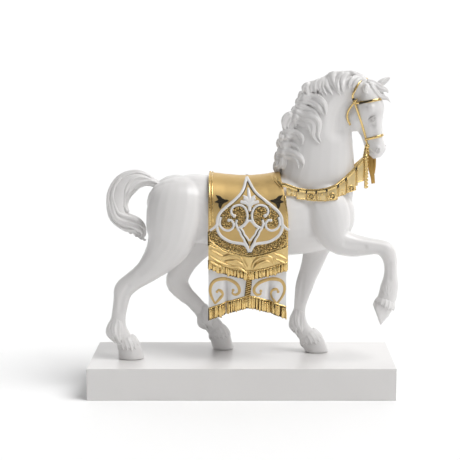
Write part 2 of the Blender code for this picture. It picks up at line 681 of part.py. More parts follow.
def cloth(shell):
    drape(shell, lowest_hem, 3.0, CLOTH_REAR, lambda z: CLOTH_FRONT - 1 - 10 * min(max((z - 240) / 55, 0), 1))
    drape(shell, second_hem, 4.5, CLOTH_REAR + 0.6, cloth_front)
    drape(shell, upper_hem, 6.0, CLOTH_REAR + 1.2, cloth_front)
    for hand in (-1, 1):
        for path, width in PATTERN:
            for way in (-1, 1):
                points = [(lean(CLOTH_MIDDLE + way * out, z), z) for out, z in path]
                laid_ridge(shell, points, 1.5, width, 6.0, hand)
        for hem, offset, length in ((upper_hem, 6.0, 14), (second_hem, 4.5, 13),
                                    (lowest_hem, 3.0, 17)):
            for i in range(17):
                x = CLOTH_REAR + 4 + 115 * i / 16
                laid_ridge(shell, [(x, hem(x) + length), (x + 0.6, hem(x) + length / 2),
                                   (x, hem(x) - 1)], 1.5, 2.5, offset, hand)
            border = [(CLOTH_REAR + 3 + 118 * i / 12) for i in range(13)]
            laid_ridge(shell, [(x, hem(x) + length + 1) for x in border], 1.7, 2.0, offset, hand)
        for way in (-1, 1):
            for rise in (0, 7):
                swag = [(CLOTH_MIDDLE + way * out, z + rise) for out, z in
                        ((3, 151), (14, 158), (28, 160), (42, 156), (54, 162))]
                laid_ridge(shell, swag, 1.4, 1.8, 4.5, hand)
        laid_ridge(shell, [(10, 136), (8, 118), (6, 100), (5, 90)], 2.2, 3.6, 3.0, hand)
        laid_ridge(shell, [(CLOTH_REAR + 4, 284), (CLOTH_REAR + 4, 250), (CLOTH_REAR + 5, 212)],
                   1.6, 2.2, 6.0, hand)
        laid_ridge(shell, [(cloth_front(284) - 4, 284), (CLOTH_FRONT - 4, 250),
                           (CLOTH_FRONT - 2, 206)], 1.6, 2.2, 6.0, hand)


def band(shell, rows, thickness):
    """A flat strap on edge, through (x, y, z of its lower edge, z of its upper edge) rows."""
    rows = smooth_rows(rows, 3)
    rings = []
    for i, (x, y, low, high) in enumerate(rows):
        ahead, behind = rows[min(i + 1, len(rows) - 1)], rows[max(i - 1, 0)]
        across = unit(np.cross(unit((ahead[0] - behind[0], ahead[1] - behind[1], 0)), (0, 0, 1)))
        ring = []
        for z, side in ((low, -1), ((low + high) / 2, -1), (high, -1), (high, 1),
                        ((low + high) / 2, 1), (low, 1)):
            ring.append(np.array((x, y, z)) + across * side * thickness / 2)
        rings.append(ring)
    shell.rings(rings)


REIN = [(62, 261, 277), (78, 257, 274), (95, 253, 271), (113, 251, 269), (129, 251, 272),
        (145, 254, 278), (160, 259, 286), (173, 264, 297), (184, 272, 308), (192, 279, 317)]


def bit_point(hand):
    return on_head(94, -9, 12.5 * hand)


def reins(shell, surface):
    """The broad band from the cloth round each shoulder and through the air to the bit."""
    for hand in (-1, 1):
        bit = bit_point(-hand)
        rows = []
        for x, low, high in REIN:
            middle = (low + high) / 2
            laid = max(abs(surface.lay(x, z, hand, 0, MIDDLE)[1] - MIDDLE) for z in (low, middle, high))
            t = max(0.0, (x - 148) / (192 - 148))
            straight = (1 - t) * 37 + t * abs(bit[1] - MIDDLE)
            out = max(laid, straight) if x < 172 else straight
            if x < 75:
                out = max(out, cloth_y(x, middle, 4.5))
            rows.append((x, MIDDLE + hand * (out + 1.0), low, high))
        if hand == 1:
            rows = [(x + 8 * max(0, (x - 140) / 52), y, low + 4 * max(0, (x - 140) / 52),
                     high + 4 * max(0, (x - 140) / 52)) for x, y, low, high in rows]
        band(shell, rows, REIN_THICKNESS)
        last = np.array((rows[-1][0], rows[-1][1], rows[-1][3]))
        link = [(*(last + (bit - last) * t + (0, 0, -2)), 3.2, 2.6) for t in (-0.3, 0.4, 1.15)]
        limb(shell, link, 3, 8)
        for x, z in ((80, 264), (108, 259), (139, 262), (171, 270)):
            y = np.interp(x, [row[0] for row in rows], [row[1] for row in rows])
            ball(shell, (x, y, z), (5.2, 3.2, 5.2), sides=12)
        for i, row in enumerate(rows[:-1]):
            x, y = (row[0] + rows[i + 1][0]) / 2, (row[1] + rows[i + 1][1]) / 2
            limb(shell, [(x, y, row[2] + 1, 1.6, 2.6), (x, y, row[3] - 1, 1.6, 2.6)], 2, 8)


def strap(shell, points, width=STRAP_WIDTH, thickness=STRAP_THICKNESS):
    """A bridle strap laid through points on the head, flat towards the head's axis."""
    points = smooth_rows(points, 2)
    rings = []
    for i, point in enumerate(points):
        tangent = unit(points[min(i + 1, len(points) - 1)] - points[max(i - 1, 0)])
        down = np.dot(point - HEAD_POLL, HEAD_DOWN)
        out = unit(point - on_head(down, -2, 0))
        out = unit(out - np.dot(out, tangent) * tangent)
        side = np.cross(tangent, out)
        rings.append([point + side * width / 2 * math.cos(a) + out * thickness * math.sin(a)
                      for a in (2 * math.pi * k / 8 for k in range(8))])
    shell.rings(rings)


def bridle(shell, surface):
    for hand in (-1, 1):
        def at(down, degrees, lift=0.6):
            return surface.round_head(down, math.radians(degrees) * hand, lift)
        strap(shell, [at(-6, 60), at(2, 78), at(12, 96), at(22, 98)])                # crownpiece
        strap(shell, [at(22, 98), at(40, 96), at(60, 100), at(82, 112)])             # cheekpiece
        strap(shell, [at(24, 98), at(36, 128), at(50, 140), at(62, 150)])            # throatlash
        ball(shell, at(22, 98, 1.2), (4, 4, 4), sides=12)
        ball(shell, at(92, 112, 0.5), (7, 4, 4), (HEAD_DOWN, HEAD_FRONT, HEAD_RIGHT), sides=12)
    for low, high, drop in ((24, 28, 98), (83, 83, 112)):
        loop = [surface.round_head(high + (low - high) * abs(a) / drop, math.radians(a), 0.6)
                for a in np.linspace(-drop, drop, 13)]
        strap(shell, loop)


def tassels(shell):
    """The strap ends and the tassel that hang from the bit."""
    near = bit_point(1)
    limb(shell, [(193, near[1] - 2, 326, 3.6, 3), (193, near[1] - 3, 300, 3.2, 2.4),
                 (193, near[1] - 3, 272, 3.4, 2.4), (193, near[1] - 3, 267, 2.4, 2)], 3, 8)
    limb(shell, [(200, near[1] + 3, 326, 5, 3), (201, near[1] + 1, 304, 5, 3),
                 (204, near[1], 284, 3.6, 2.6), (205, near[1], 275, 3.2, 2.2)], 3, 8)
    limb(shell, [(207, near[1] + 5, 322, 3, 2.8), (207, near[1] + 4, 306, 3, 2.4),
                 (206, near[1] + 4, 290, 2.4, 2.2)], 3, 8)


def plinth():
    bpy.ops.mesh.primitive_cube_add(size=1, location=(0, 0, PLINTH_HEIGHT / 2))
    block = bpy.context.object
    block.name = "plinth"
    block.dimensions = (PLINTH_LENGTH, PLINTH_DEPTH, PLINTH_HEIGHT)
    bpy.ops.object.transform_apply(location=False, rotation=False, scale=True)
    edge = block.modifiers.new("Eased edges", "BEVEL")
    edge.width = PLINTH_EDGE
    edge.segments = 2
    block.data.materials.append(finish_of("white lacquer", LACQUER, 0.35))
    return block


def largest_part(mesh):
    """Keeps the outer skin only: a remesh can leave a bubble where shells overlap."""
    bm = bmesh.new()
    bm.from_mesh(mesh)
    left = set(bm.faces)
    parts = []
    while left:
        stack = [left.pop()]
        part = []
        while stack:
            face = stack.pop()
            part.append(face)
            for edge in face.edges:
                for other in edge.link_faces:
                    if other in left:
                        left.discard(other)
                        stack.append(other)
        parts.append(part)
    parts.sort(key=len)
    for part in parts[:-1]:
        bmesh.ops.delete(bm, geom=list({v for f in part for v in f.verts}), context="VERTS")
    bm.to_mesh(mesh)
    bm.free()
    return len(parts)


def flat_soles(mesh):
    """Cuts the hooves level, just clear of the plinth."""
    bm = bmesh.new()
    bm.from_mesh(mesh)
    cut = bmesh.ops.bisect_plane(bm, geom=bm.verts[:] + bm.edges[:] + bm.faces[:],
                                 plane_co=(0, 0, SOLE_GAP), plane_no=(0, 0, 1), clear_inner=True)
    edges = [e for e in cut["geom_cut"] if isinstance(e, bmesh.types.BMEdge)]
    bmesh.ops.remove_doubles(bm, verts=list({v for e in edges for v in e.verts}), dist=0.0001)
    bmesh.ops.holes_fill(bm, edges=[e for e in bm.edges if e.is_boundary])
    bmesh.ops.triangulate(bm, faces=bm.faces)
    bmesh.ops.recalc_face_normals(bm, faces=bm.faces)
    bm.to_mesh(mesh)
    bm.free()


def horse():
    core = bare_horse()
    surface = Surface(core)
    shell = Shell()
    shell.add_mesh(core)
    mane(shell, surface)
    forelock(shell, surface)
    ears(shell)
    tail_hair(shell)
    feathers(shell)
    cloth(shell)
    reins(shell, surface)
    bridle(shell, surface)
    tassels(shell)
    skin = fused(shell.mesh("dressed horse"), "dressed horse", SKIN_VOXEL, 1)
    largest_part(skin)
    obj = bpy.data.objects.new("horse", skin)
    bpy.context.scene.collection.objects.link(obj)
    fewer = obj.modifiers.new("Fewer faces", "DECIMATE")
    fewer.ratio = FIGURE_TRIANGLES / sum(len(p.vertices) - 2 for p in skin.polygons)
    fewer.use_collapse_triangulate = True
    graph = bpy.context.evaluated_depsgraph_get()
    mesh = bpy.data.meshes.new_from_object(obj.evaluated_get(graph))
    obj.modifiers.clear()
    flat_soles(mesh)
    obj.data = mesh
    obj.location = (0, 0, PLINTH_HEIGHT)
    mesh.materials.append(finish_of("glazed porcelain", GLAZE, 0.25))
    for face in mesh.polygons:
        face.use_smooth = True
    return obj


def main():
    clear_scene()
    plinth()
    horse()


main()
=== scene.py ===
import json
import math
import bpy
import numpy as np
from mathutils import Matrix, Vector
from mathutils.bvhtree import BVHTree

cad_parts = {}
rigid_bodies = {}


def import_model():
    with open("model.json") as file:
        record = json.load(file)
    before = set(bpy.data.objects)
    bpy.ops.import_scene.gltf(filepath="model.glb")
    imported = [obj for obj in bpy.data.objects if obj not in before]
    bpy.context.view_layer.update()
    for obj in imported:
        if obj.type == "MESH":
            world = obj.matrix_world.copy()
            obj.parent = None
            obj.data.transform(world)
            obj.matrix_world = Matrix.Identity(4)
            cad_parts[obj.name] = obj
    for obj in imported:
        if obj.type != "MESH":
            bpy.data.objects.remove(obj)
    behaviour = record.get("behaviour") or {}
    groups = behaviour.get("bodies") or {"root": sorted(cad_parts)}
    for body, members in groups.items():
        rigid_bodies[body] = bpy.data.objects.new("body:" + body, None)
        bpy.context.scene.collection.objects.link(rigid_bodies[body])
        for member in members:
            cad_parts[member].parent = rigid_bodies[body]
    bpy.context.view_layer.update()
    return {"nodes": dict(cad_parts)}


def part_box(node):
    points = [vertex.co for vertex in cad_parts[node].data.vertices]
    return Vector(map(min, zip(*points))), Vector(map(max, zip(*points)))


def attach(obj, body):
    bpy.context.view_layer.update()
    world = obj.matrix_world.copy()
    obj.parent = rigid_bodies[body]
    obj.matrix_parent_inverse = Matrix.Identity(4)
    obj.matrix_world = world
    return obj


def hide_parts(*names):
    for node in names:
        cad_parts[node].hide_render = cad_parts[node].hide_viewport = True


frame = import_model()

# All shapes are in millimetres on the figure, x from the plinth's middle to the front, y away
# from the near side, z above the plinth's top. place() turns them into the frame's metres.
unit = 0.001
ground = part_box("plinth")[1].z
middle = 10.0  # the horse's middle plane
wholeTurn = 2 * math.pi


def place(points):
    return np.asarray(points, float) * unit + (0, 0, ground)


def direction(v):
    v = np.array(v, float)
    return v / max(np.linalg.norm(v), 1e-9)


def rounded(value, power):
    return math.copysign(abs(value) ** (2.0 / power), value)


def flowing(rows, steps):
    # rows of numbers read from a smooth curve through the given ones
    rows = np.array(rows, float)
    ends = np.vstack([2 * rows[0] - rows[1], rows, 2 * rows[-1] - rows[-2]])
    found = []
    for i in range(len(rows) - 1):
        p0, p1, p2, p3 = ends[i:i + 4]
        for k in range(steps):
            t = k / steps
            found.append(0.5 * (2 * p1 + (p2 - p0) * t + (2 * p0 - 5 * p1 + 4 * p2 - p3) * t * t
                                + (3 * p1 - p0 - 3 * p2 + p3) * t ** 3))
    found.append(rows[-1])
    return np.array(found)


def deselectAll():
    if bpy.context.object and bpy.context.object.mode != "OBJECT":
        bpy.ops.object.mode_set(mode="OBJECT")
    bpy.ops.object.select_all(action="DESELECT")


def pick(obj):
    deselectAll()
    obj.select_set(True)
    bpy.context.view_layer.objects.active = obj
    return obj


def applied(obj, kind, **settings):
    pick(obj)
    modifier = obj.modifiers.new(kind.title(), kind)
    for name, value in settings.items():
        setattr(modifier, name, value)
    bpy.ops.object.modifier_apply(modifier=modifier.name)
    return obj


class Clay:
    # closed shells, gathered as points and faces and made one mesh

    def __init__(self):
        self.points, self.faces = [], []

    def skin(self, rings):
        start, count = len(self.points), len(rings[0])
        for ring in rings:
            self.points.extend(ring)
        for i in range(len(rings) - 1):
            a, b = start + i * count, start + (i + 1) * count
            for k in range(count):
                n = (k + 1) % count
                self.faces.append((a + k, a + n, b + n, b + k))
        self.faces.append(tuple(start + k for k in range(count))[::-1])
        self.faces.append(tuple(start + (len(rings) - 1) * count + k for k in range(count)))

    def take(self, obj):
        start = len(self.points)
        co = np.empty(len(obj.data.vertices) * 3)
        obj.data.vertices.foreach_get("co", co)
        self.points.extend((co.reshape(-1, 3) - (0, 0, ground)) / unit)
        self.faces.extend(tuple(start + i for i in p.vertices) for p in obj.data.polygons)

    def copies(self, shape, spots):
        # one modelled shape, an array of points and its faces, set down at many spots
        points, faces = shape
        for spot in spots:
            start = len(self.points)
            self.points.extend(points + spot)
            self.faces.extend(tuple(start + i for i in f) for f in faces)

    def piece(self, name):
        mesh = bpy.data.meshes.new(name)
        mesh.from_pydata([tuple(p) for p in place(self.points)], [], self.faces)
        obj = bpy.data.objects.new(name, mesh)
        bpy.context.scene.collection.objects.link(obj)
        pick(obj)
        bpy.ops.object.mode_set(mode="EDIT")
        bpy.ops.mesh.select_all(action="SELECT")
        bpy.ops.mesh.normals_make_consistent(inside=False)
        bpy.ops.object.mode_set(mode="OBJECT")
        return obj


def limb(clay, rows, steps=4, sides=20, side=(0, 1, 0), power=2.2, along=None, grooves=0):
    # a tube through (x, y, z, half depth, half width) rows; grooves cut its rim into threads
    rows = flowing(rows, steps) if steps > 1 else np.array(rows, float)
    rings = []
    for i, row in enumerate(rows):
        tangent = direction(rows[min(i + 1, len(rows) - 1)][:3] - rows[max(i - 1, 0)][:3]
                            if along is None else along)
        width = direction(np.array(side) - np.dot(side, tangent) * tangent)
        depth = np.cross(tangent, width)
        ring = []
        for k in range(sides):
            a = wholeTurn * k / sides
            cut = 1 - 0.17 * (0.5 + 0.5 * math.cos(grooves * a + 0.07 * i)) if grooves else 1
            ring.append(row[:3] + depth * row[3] * rounded(math.cos(a), power) * cut
                        + width * row[4] * rounded(math.sin(a), power) * cut)
        rings.append(ring)
    clay.skin(rings)


def ball(clay, centre, radii, turn=None, sides=16):
    axes = np.eye(3) if turn is None else np.array([direction(v) for v in turn])
    rings = []
    for i in range(sides // 2 + 1):
        polar = math.pi * min(max(i / (sides // 2), 0.02), 0.98)
        rings.append([np.array(centre, float) + np.array(
            (math.cos(polar) * radii[0], math.sin(polar) * math.cos(a) * radii[1],
             math.sin(polar) * math.sin(a) * radii[2])) @ axes
            for a in around(sides)])
    clay.skin(rings)


def ribbon(clay, points, normals, width, height, sides=10, power=2.0):
    # a raised line that lies on a surface: half width across it, half height along its normals
    rings = []
    last = len(points) - 1
    for i, (point, normal) in enumerate(zip(points, normals)):
        tangent = direction(points[min(i + 1, last)] - points[max(i - 1, 0)])
        normal = direction(normal - np.dot(normal, tangent) * tangent)
        across = np.cross(tangent, normal)
        w = width[i] if hasattr(width, "__len__") else width
        h = height[i] if hasattr(height, "__len__") else height
        rings.append([point + across * w * rounded(math.cos(a), power)
                      + normal * h * rounded(math.sin(a), power)
                      for a in around(sides)])
    clay.skin(rings)


def laid(clay, found, width, height, sides=8, power=2.0):
    # a ribbon through (point, normal) pairs
    ribbon(clay, np.array([point for point, normal in found]), [normal for point, normal in found],
           width, height, sides, power)


def around(count, centre=0.0):
    # the angles of a ring
    return [centre + wholeTurn * k / count for k in range(count)]


# The body
body = {"coreVoxel": 1.8, "skinVoxel": 1.1, "triangles": 188000, "blendRounds": 60}


# x, top, bottom, half width, from the buttocks to the breast
torsoRows = [(-148, 246, 216, 12), (-141, 262, 200, 32), (-130, 273, 188, 43), (-115, 280, 181, 49),
             (-96, 286, 178, 53), (-73, 289, 180, 54), (-50, 286, 178, 54), (-26, 283, 173, 55),
             (0, 281, 168, 56.5), (21, 281, 164, 57), (44, 283, 161, 56), (68, 287, 160, 54),
             (91, 287, 162, 50), (115, 280, 166, 47), (139, 269, 172, 43), (158, 262, 182, 37),
             (170, 252, 196, 28), (177, 238, 212, 14)]


def torso(clay):
    rows = [(x, middle, (top + bottom) / 2, (top - bottom) / 2, width)
            for x, top, bottom, width in torsoRows]
    limb(clay, rows, 3, 28, along=(1, 0, 0), power=2.25)


def neck(clay):
    limb(clay, [(112, 10, 222, 58, 42), (114, 10, 250, 60, 41), (119, 10, 286, 58, 37),
                (122, 9, 319, 54, 33), (126, 8, 349, 48, 30), (132, 7, 374, 41, 28),
                (139, 5, 393, 35, 26), (151, 3, 407, 28, 24), (168, 1, 418, 24, 22),
                (182, 0, 421, 20, 19), (190, 0, 420, 12, 12)], 3, 24, power=2.15)


# The head is built square to its own axes and turned a little towards the near side.
headPoll = np.array((184.0, 1.0, 428.0))
headTurn = math.radians(31)
headDown = direction((0.25, -0.02, -0.97))
forward = direction(np.cross((0, -1, 0), headDown))
nearWay = np.cross(headDown, forward)
headFront = math.cos(headTurn) * forward + math.sin(headTurn) * nearWay
headRight = math.cos(headTurn) * nearWay - math.sin(headTurn) * forward
headAxes = (headDown, headFront, headRight)


def onHead(down, front, right):
    return headPoll + down * headDown + front * headFront + right * headRight


def head(clay):
    # down the face, front, back, half width, from behind the poll to the lips
    rows = [(-10, 8, -16, 10), (0, 20, -24, 16), (12, 26, -30, 19.5), (24, 28, -33, 21.5),
            (34, 29, -34, 21.5), (44, 28.5, -34, 20.5), (54, 23.5, -33, 18), (62, 20.5, -28, 16),
            (69, 18.5, -22.5, 14), (77, 16.5, -19, 12.6), (88, 14.5, -17.5, 12),
            (98, 15, -17, 12.8), (105, 13.5, -16.5, 12.8), (111, 9.5, -14, 11.5),
            (116, 3, -9.5, 7.5)]
    limb(clay, [(*onHead(down, (front + back) / 2, 0), (front - back) / 2, width)
                for down, front, back, width in rows],
         3, 24, side=tuple(headRight), along=headDown, power=2.35)
    for hand in (-1, 1):
        ball(clay, onHead(45, -19, 14 * hand), (23, 17, 11.5), headAxes)  # cheek
        ball(clay, onHead(37, 15, 15.5 * hand), (8, 8, 6.5), headAxes)   # brow
        ball(clay, onHead(70, 7, 8 * hand), (22, 5, 4), headAxes)        # ridge below the eye
        ball(clay, onHead(102, 6.5, 9.5 * hand), (8, 6, 4.5), headAxes)  # nostril
    ball(clay, onHead(111, -8, 0), (6, 6, 7), headAxes)                  # lower lip


# x, y, z, half depth, half width down each leg
legs = {"nearHind":
        [(-97, -8, 284, 16, 5), (-97, -13, 276, 28, 13), (-97, -18, 267, 37, 21),
         (-98, -21.5, 256, 43, 27), (-102, -25, 232, 46, 30), (-107, -27, 206, 42, 29),
         (-113, -27, 184, 35.5, 26), (-128, -26, 161, 27, 21), (-150, -24, 138.5, 18.5, 15),
         (-170, -23, 124, 15.5, 12.5), (-184.5, -22.5, 111, 15.5, 11.5),
         (-188.5, -22, 96.5, 12.8, 10), (-191.5, -22, 81, 11.6, 8.8),
         (-193.5, -22, 69, 11.4, 9), (-194.5, -22, 57, 12, 10), (-194, -22, 45, 14, 12),
         (-187, -21.5, 32, 13.5, 12), (-180, -21, 22, 14.5, 13)],
        "farHind":
        [(-90, 26, 283, 16, 5), (-89, 31, 275, 28, 13), (-88, 36, 266, 37, 21),
         (-88, 40, 256, 42, 27), (-82, 44, 226, 44, 30), (-70, 46, 200, 38, 28),
         (-66, 46, 182, 30, 24), (-84, 45, 152.5, 20, 17), (-97, 45, 131.5, 17, 14),
         (-105.5, 45, 110, 18.5, 12), (-92, 45, 90, 14, 10.5), (-81.5, 45, 80.5, 12.4, 9.2),
         (-68, 45, 65, 12, 9.2), (-57, 45, 50.5, 14, 11), (-46, 45, 37, 14.5, 12),
         (-38, 45, 25, 15, 13)],
        "farFore":
        [(133, 26, 268, 14, 5), (134, 31, 258, 26, 12), (136, 35, 246, 33, 17),
         (131, 37, 216, 32, 20), (122, 35, 182, 25, 18), (115, 31, 152.5, 18.8, 14),
         (108.5, 29, 133, 16, 12), (103, 27, 118, 14.8, 11.5), (99, 26, 105, 14, 12),
         (95.5, 25, 89.5, 11.6, 9.8), (93, 25, 76, 9.8, 8.4), (92, 25, 64, 9.8, 8.6),
         (92.5, 25, 52, 10.6, 9.8), (95, 25, 39, 13, 12), (103, 25, 28, 14, 13),
         (111, 25, 19, 15.5, 14)],
        "nearFore":
        [(115, -8, 283, 12, 5), (117, -14, 273, 22, 11), (121, -19, 260, 30, 16),
         (132, -25, 234, 34, 20), (140, -29, 208, 30, 21), (150, -32, 190, 22, 19),
         (170, -34, 183, 18.6, 15), (186.5, -35, 181.5, 15.5, 13), (199, -36, 181, 13.2, 12),
         (212, -36, 180, 11.8, 11.5), (224, -37, 174.5, 13, 12), (230, -37, 160, 11.2, 10.5),
         (231, -37, 146, 10, 9), (231, -37, 133, 11, 9.4), (229.8, -37, 119.5, 14, 12),
         (227.5, -37, 106, 14.5, 12.5), (224, -37, 94, 14.5, 13)]}


def hoof(clay, top, sole, topLength, soleLength, topWidth, soleWidth, facing=(0, 0, -1)):
    top, sole, facing = np.array(top, float), np.array(sole, float), direction(facing)
    rings = []
    for share, flare in ((-0.45, 0.8), (0.0, 1.0), (0.35, 1.0), (0.75, 1.0), (1.0, 1.0)):
        t = max(share, 0.0)
        slant = direction(facing * (0.55 + 0.45 * t) + direction(sole - top) * (0.45 - 0.45 * t))
        depth = np.cross(slant, (0.0, 1.0, 0.0))
        length = (topLength + (soleLength - topLength) * t) * flare
        breadth = (topWidth + (soleWidth - topWidth) * t) * flare
        rings.append([top + (sole - top) * share + depth * length * rounded(math.cos(a), 2.2)
                      + np.array((0, breadth * rounded(math.sin(a), 2.2), 0))
                      for a in around(24)])
    clay.skin(rings)


soleGap = 0.3
hooves = [((-178, -21, 21), (-174.5, -20, soleGap), 17.5, 20.5, 15, 17),
          ((-37, 45, 24), (-31, 45, soleGap), 17, 17, 15.5, 17),
          ((113, 25, 18), (120.5, 25, soleGap), 19, 19, 15.5, 17.5),
          ((222.5, -37, 88), (210, -37, 73.5), 16, 18.5, 14, 16, (-0.94, 0, -0.34))]


def muscles(clay):
    for hand in (-1, 1):
        ball(clay, (-104, middle + 26 * hand, 246), (44, 27, 40))
        ball(clay, (122, middle + 22 * hand, 236), (42, 24, 52))
        ball(clay, (150, middle + 18 * hand, 226), (27, 19, 34))
    ball(clay, (-68, middle - 32, 222), (28, 21, 36))


# x, y, z, half thickness, from the root in an S to the buttock
tailPath = [(-133, 10, 273, 7.5), (-146, 9.5, 279, 9.5), (-158, 9, 281.5, 12.5), (-171, 8, 280, 15.5),
            (-182, 7, 273.5, 17.5), (-191, 5, 262, 18.5), (-196, 4, 246, 19), (-195, 3, 229, 18),
            (-186, 1, 216, 17), (-175, -1, 211, 16.5), (-164, -3.5, 207.5, 13.5), (-157, -6.5, 199, 9),
            (-157, -8, 188, 4)]


def dock(clay):
    limb(clay, [(-118, 10, 266, 6, 5)] + [(x, y, z, 0.7 * r, 0.5 * r) for x, y, z, r in tailPath], 4, 18)


# where shells meet and are worn into each other: centre, reach
joins = [((-100, 10, 235), 75), ((125, 10, 225), 72), ((118, 10, 285), 52), ((170, -10, 205), 34),
         ((172, 4, 405), 34), ((-132, 10, 272), 22), ((-140, -24, 160), 36), ((-86, 45, 165), 36),
         ((0, 10, 225), 70)]


def meshPoints(obj):
    co = np.empty(len(obj.data.vertices) * 3)
    obj.data.vertices.foreach_get("co", co)
    return (co.reshape(-1, 3) - (0, 0, ground)) / unit


def setPoints(obj, points):
    obj.data.vertices.foreach_set("co", place(points).ravel())
    obj.data.update()


def pointNormals(obj):
    normals = np.empty(len(obj.data.vertices) * 3)
    obj.data.vertex_normals.foreach_get("vector", normals)
    return normals.reshape(-1, 3)


def neighbours(obj):
    ends = np.empty(len(obj.data.edges) * 2, int)
    obj.data.edges.foreach_get("vertices", ends)
    count = len(obj.data.vertices)
    share = np.maximum(np.bincount(ends, minlength=count), 1)[:, None]
    a, b = ends[0::2], ends[1::2]

    def mean(values):
        return np.stack([np.bincount(a, values[b, i], count) + np.bincount(b, values[a, i], count)
                         for i in range(values.shape[1])], 1) / share
    return mean


def relaxed(obj, rounds, weightOf):
    points = meshPoints(obj)
    mean = neighbours(obj)
    weight = weightOf(points)[:, None]
    for _ in range(rounds):
        for step in (0.5, -0.46):
            points = points + step * weight * (mean(points) - points)
    setPoints(obj, points)


def joinWeight(points):
    weight = np.full(len(points), 0.10)
    for centre, reach in joins:
        near = 1 - np.clip(np.linalg.norm(points - centre, axis=1) / reach, 0, 1)
        weight = np.maximum(weight, np.minimum(1, 2 * near))
    return weight


def markRecess(obj, rounds, reach):
    # how far each point lies in a hollow (over 0.5) or on a ridge (under 0.5); the finishes paint shade into
    # the colour where it is high
    if "recess" in obj.data.attributes:
        return
    points = meshPoints(obj)
    mean = neighbours(obj)
    soft = points
    for _ in range(rounds):
        soft = mean(soft)
    values = np.clip(0.5 + ((soft - points) * pointNormals(obj)).sum(1) / reach, 0, 1)[:, None]
    for _ in range(min(2, rounds)):
        values = 0.5 * values + 0.5 * mean(values)
    layer = obj.data.attributes.new("recess", "FLOAT", "POINT")
    layer.data.foreach_set("value", values[:, 0].astype(np.float32))


def onePiece(clay, name, voxel, rounds, largestOnly=True):
    # one skin round all the shells
    obj = clay.piece(name)
    applied(obj, "REMESH", mode="VOXEL", voxel_size=voxel * unit)
    if rounds:
        applied(obj, "SMOOTH", iterations=rounds, factor=0.5)
    if largestOnly:
        pick(obj)
        bpy.ops.mesh.separate(type="LOOSE")
        parts = sorted(bpy.context.selected_objects, key=lambda o: len(o.data.vertices))
        for part in parts[:-1]:
            bpy.data.objects.remove(part)
        obj = parts[-1]
        obj.name = name
    return pick(obj)


def slimmed(obj, triangles):
    return applied(obj, "DECIMATE", ratio=min(1, triangles / (2 * len(obj.data.polygons))),
                   use_collapse_triangulate=True)


def sculpt(obj, strokes):
    # strokes of a thumb: path, reach, depth; a positive depth presses in, a negative one raises
    points = meshPoints(obj)
    shift = np.zeros(len(points))
    for path, reach, depth in strokes:
        path = flowing(path, 4)
        low, high = path.min(0) - reach, path.max(0) + reach
        near = np.where(((points > low) & (points < high)).all(1))[0]
        gap = np.full(len(near), 1e9)
        for a, b in zip(path[:-1], path[1:]):
            t = np.clip((points[near] - a) @ (b - a) / max(float((b - a) @ (b - a)), 1e-9), 0, 1)
            gap = np.minimum(gap, np.linalg.norm(points[near] - a - t[:, None] * (b - a), axis=1))
        soft = np.clip(1 - gap / reach, 0, 1)
        shift[near] += depth * soft * soft * (3 - 2 * soft)
    setPoints(obj, points - pointNormals(obj) * shift[:, None])


class Surface:
    # a horse's skin, as something that hair and harness are laid on
    def __init__(self, obj):
        points = [Vector(p) for p in meshPoints(obj)]
        self.tree = BVHTree.FromPolygons(points, [tuple(p.vertices) for p in obj.data.polygons])

    def lay(self, x, z, hand, lift, rest):
        hit = self.tree.ray_cast(Vector((x, 400.0 * hand, z)), Vector((0, -hand, 0)))
        return np.array((x, (rest if hit[0] is None else hit[0].y) + lift * hand, z))

    def roundHead(self, down, angle, lift):
        # a point and its normal on the head, at an angle from the face round to the right
        out = math.cos(angle) * headFront + math.sin(angle) * headRight
        axis = onHead(down, -2, 0)
        hit = self.tree.ray_cast(Vector(axis + 34 * out), Vector(-out))
        spot = np.array(hit[0]) if hit[0] is not None else axis + 16 * out
        normal = direction(np.array(hit[1])) if hit[0] is not None else out
        return spot + lift * normal, normal


print("body: joining the masses")
bodyClay = Clay()
for shape in (torso, neck, head):
    shape(bodyClay)
for rows in legs.values():
    limb(bodyClay, rows)
for shape in (muscles, dock):
    shape(bodyClay)
for values in hooves:
    hoof(bodyClay, *values)
bareHorse = onePiece(bodyClay, "bareHorse", body["coreVoxel"], 2)
relaxed(bareHorse, body["blendRounds"], joinWeight)
surface = Surface(bareHorse)
print("body: bare horse", len(bareHorse.data.polygons))


def ears(clay):
    for root, tip, out in (((8, 22, -11.5), (0.3, 40, -29.3), headFront - 0.6 * headRight),
                           ((8, 14, 12), (1, 26, 32), headFront + 0.2 * headRight)):
        root, tip = onHead(*root), onHead(*tip)
        axis = direction(tip - root)
        across = direction(np.cross(axis, out))
        facing = np.cross(across, axis)
        rings = []
        for share, width in ((-0.3, 5), (0.0, 6.5), (0.25, 7.8), (0.5, 7.4), (0.75, 5.2),
                             (0.9, 2.8), (1.0, 0.8)):
            ring = []
            for a in around(20):
                dent = 0.85 * max(0, math.cos(a)) ** 2 if share >= 0.25 else 0.2 * max(0, math.cos(a))
                ring.append(root + (tip - root) * share + across * width * math.sin(a)
                            + facing * width * 0.8 * (math.cos(a) - 1.3 * dent))
            rings.append(ring)
        clay.skin(rings)


# The crest's outline, x and z, from the withers to the poll.
crestOutline = flowing([(52, 300), (55, 318), (58, 340), (62, 352), (66, 366), (74, 384), (80, 392),
                        (87, 405), (92, 414), (96, 428), (108, 433), (121, 439), (133, 443),
                        (140, 450), (150, 452), (165, 450), (182, 445), (196, 436)], 4)


def crestInward(i):
    along = direction(crestOutline[min(i + 1, len(crestOutline) - 1)] - crestOutline[max(i - 1, 0)])
    return np.array((along[1], -along[0]))


def maneBed(clay):
    # a full ridge along the crest, which the locks are laid over
    rows = []
    for i in range(0, len(crestOutline), 3):
        t = i / len(crestOutline)
        x, z = crestOutline[i] + crestInward(i) * (12.0 - 2.2 * t)
        rows.append((x, middle - 6 * t, z, 9.2 - 2 * t, 14 - 3 * t))
    limb(clay, rows, 2, 24)


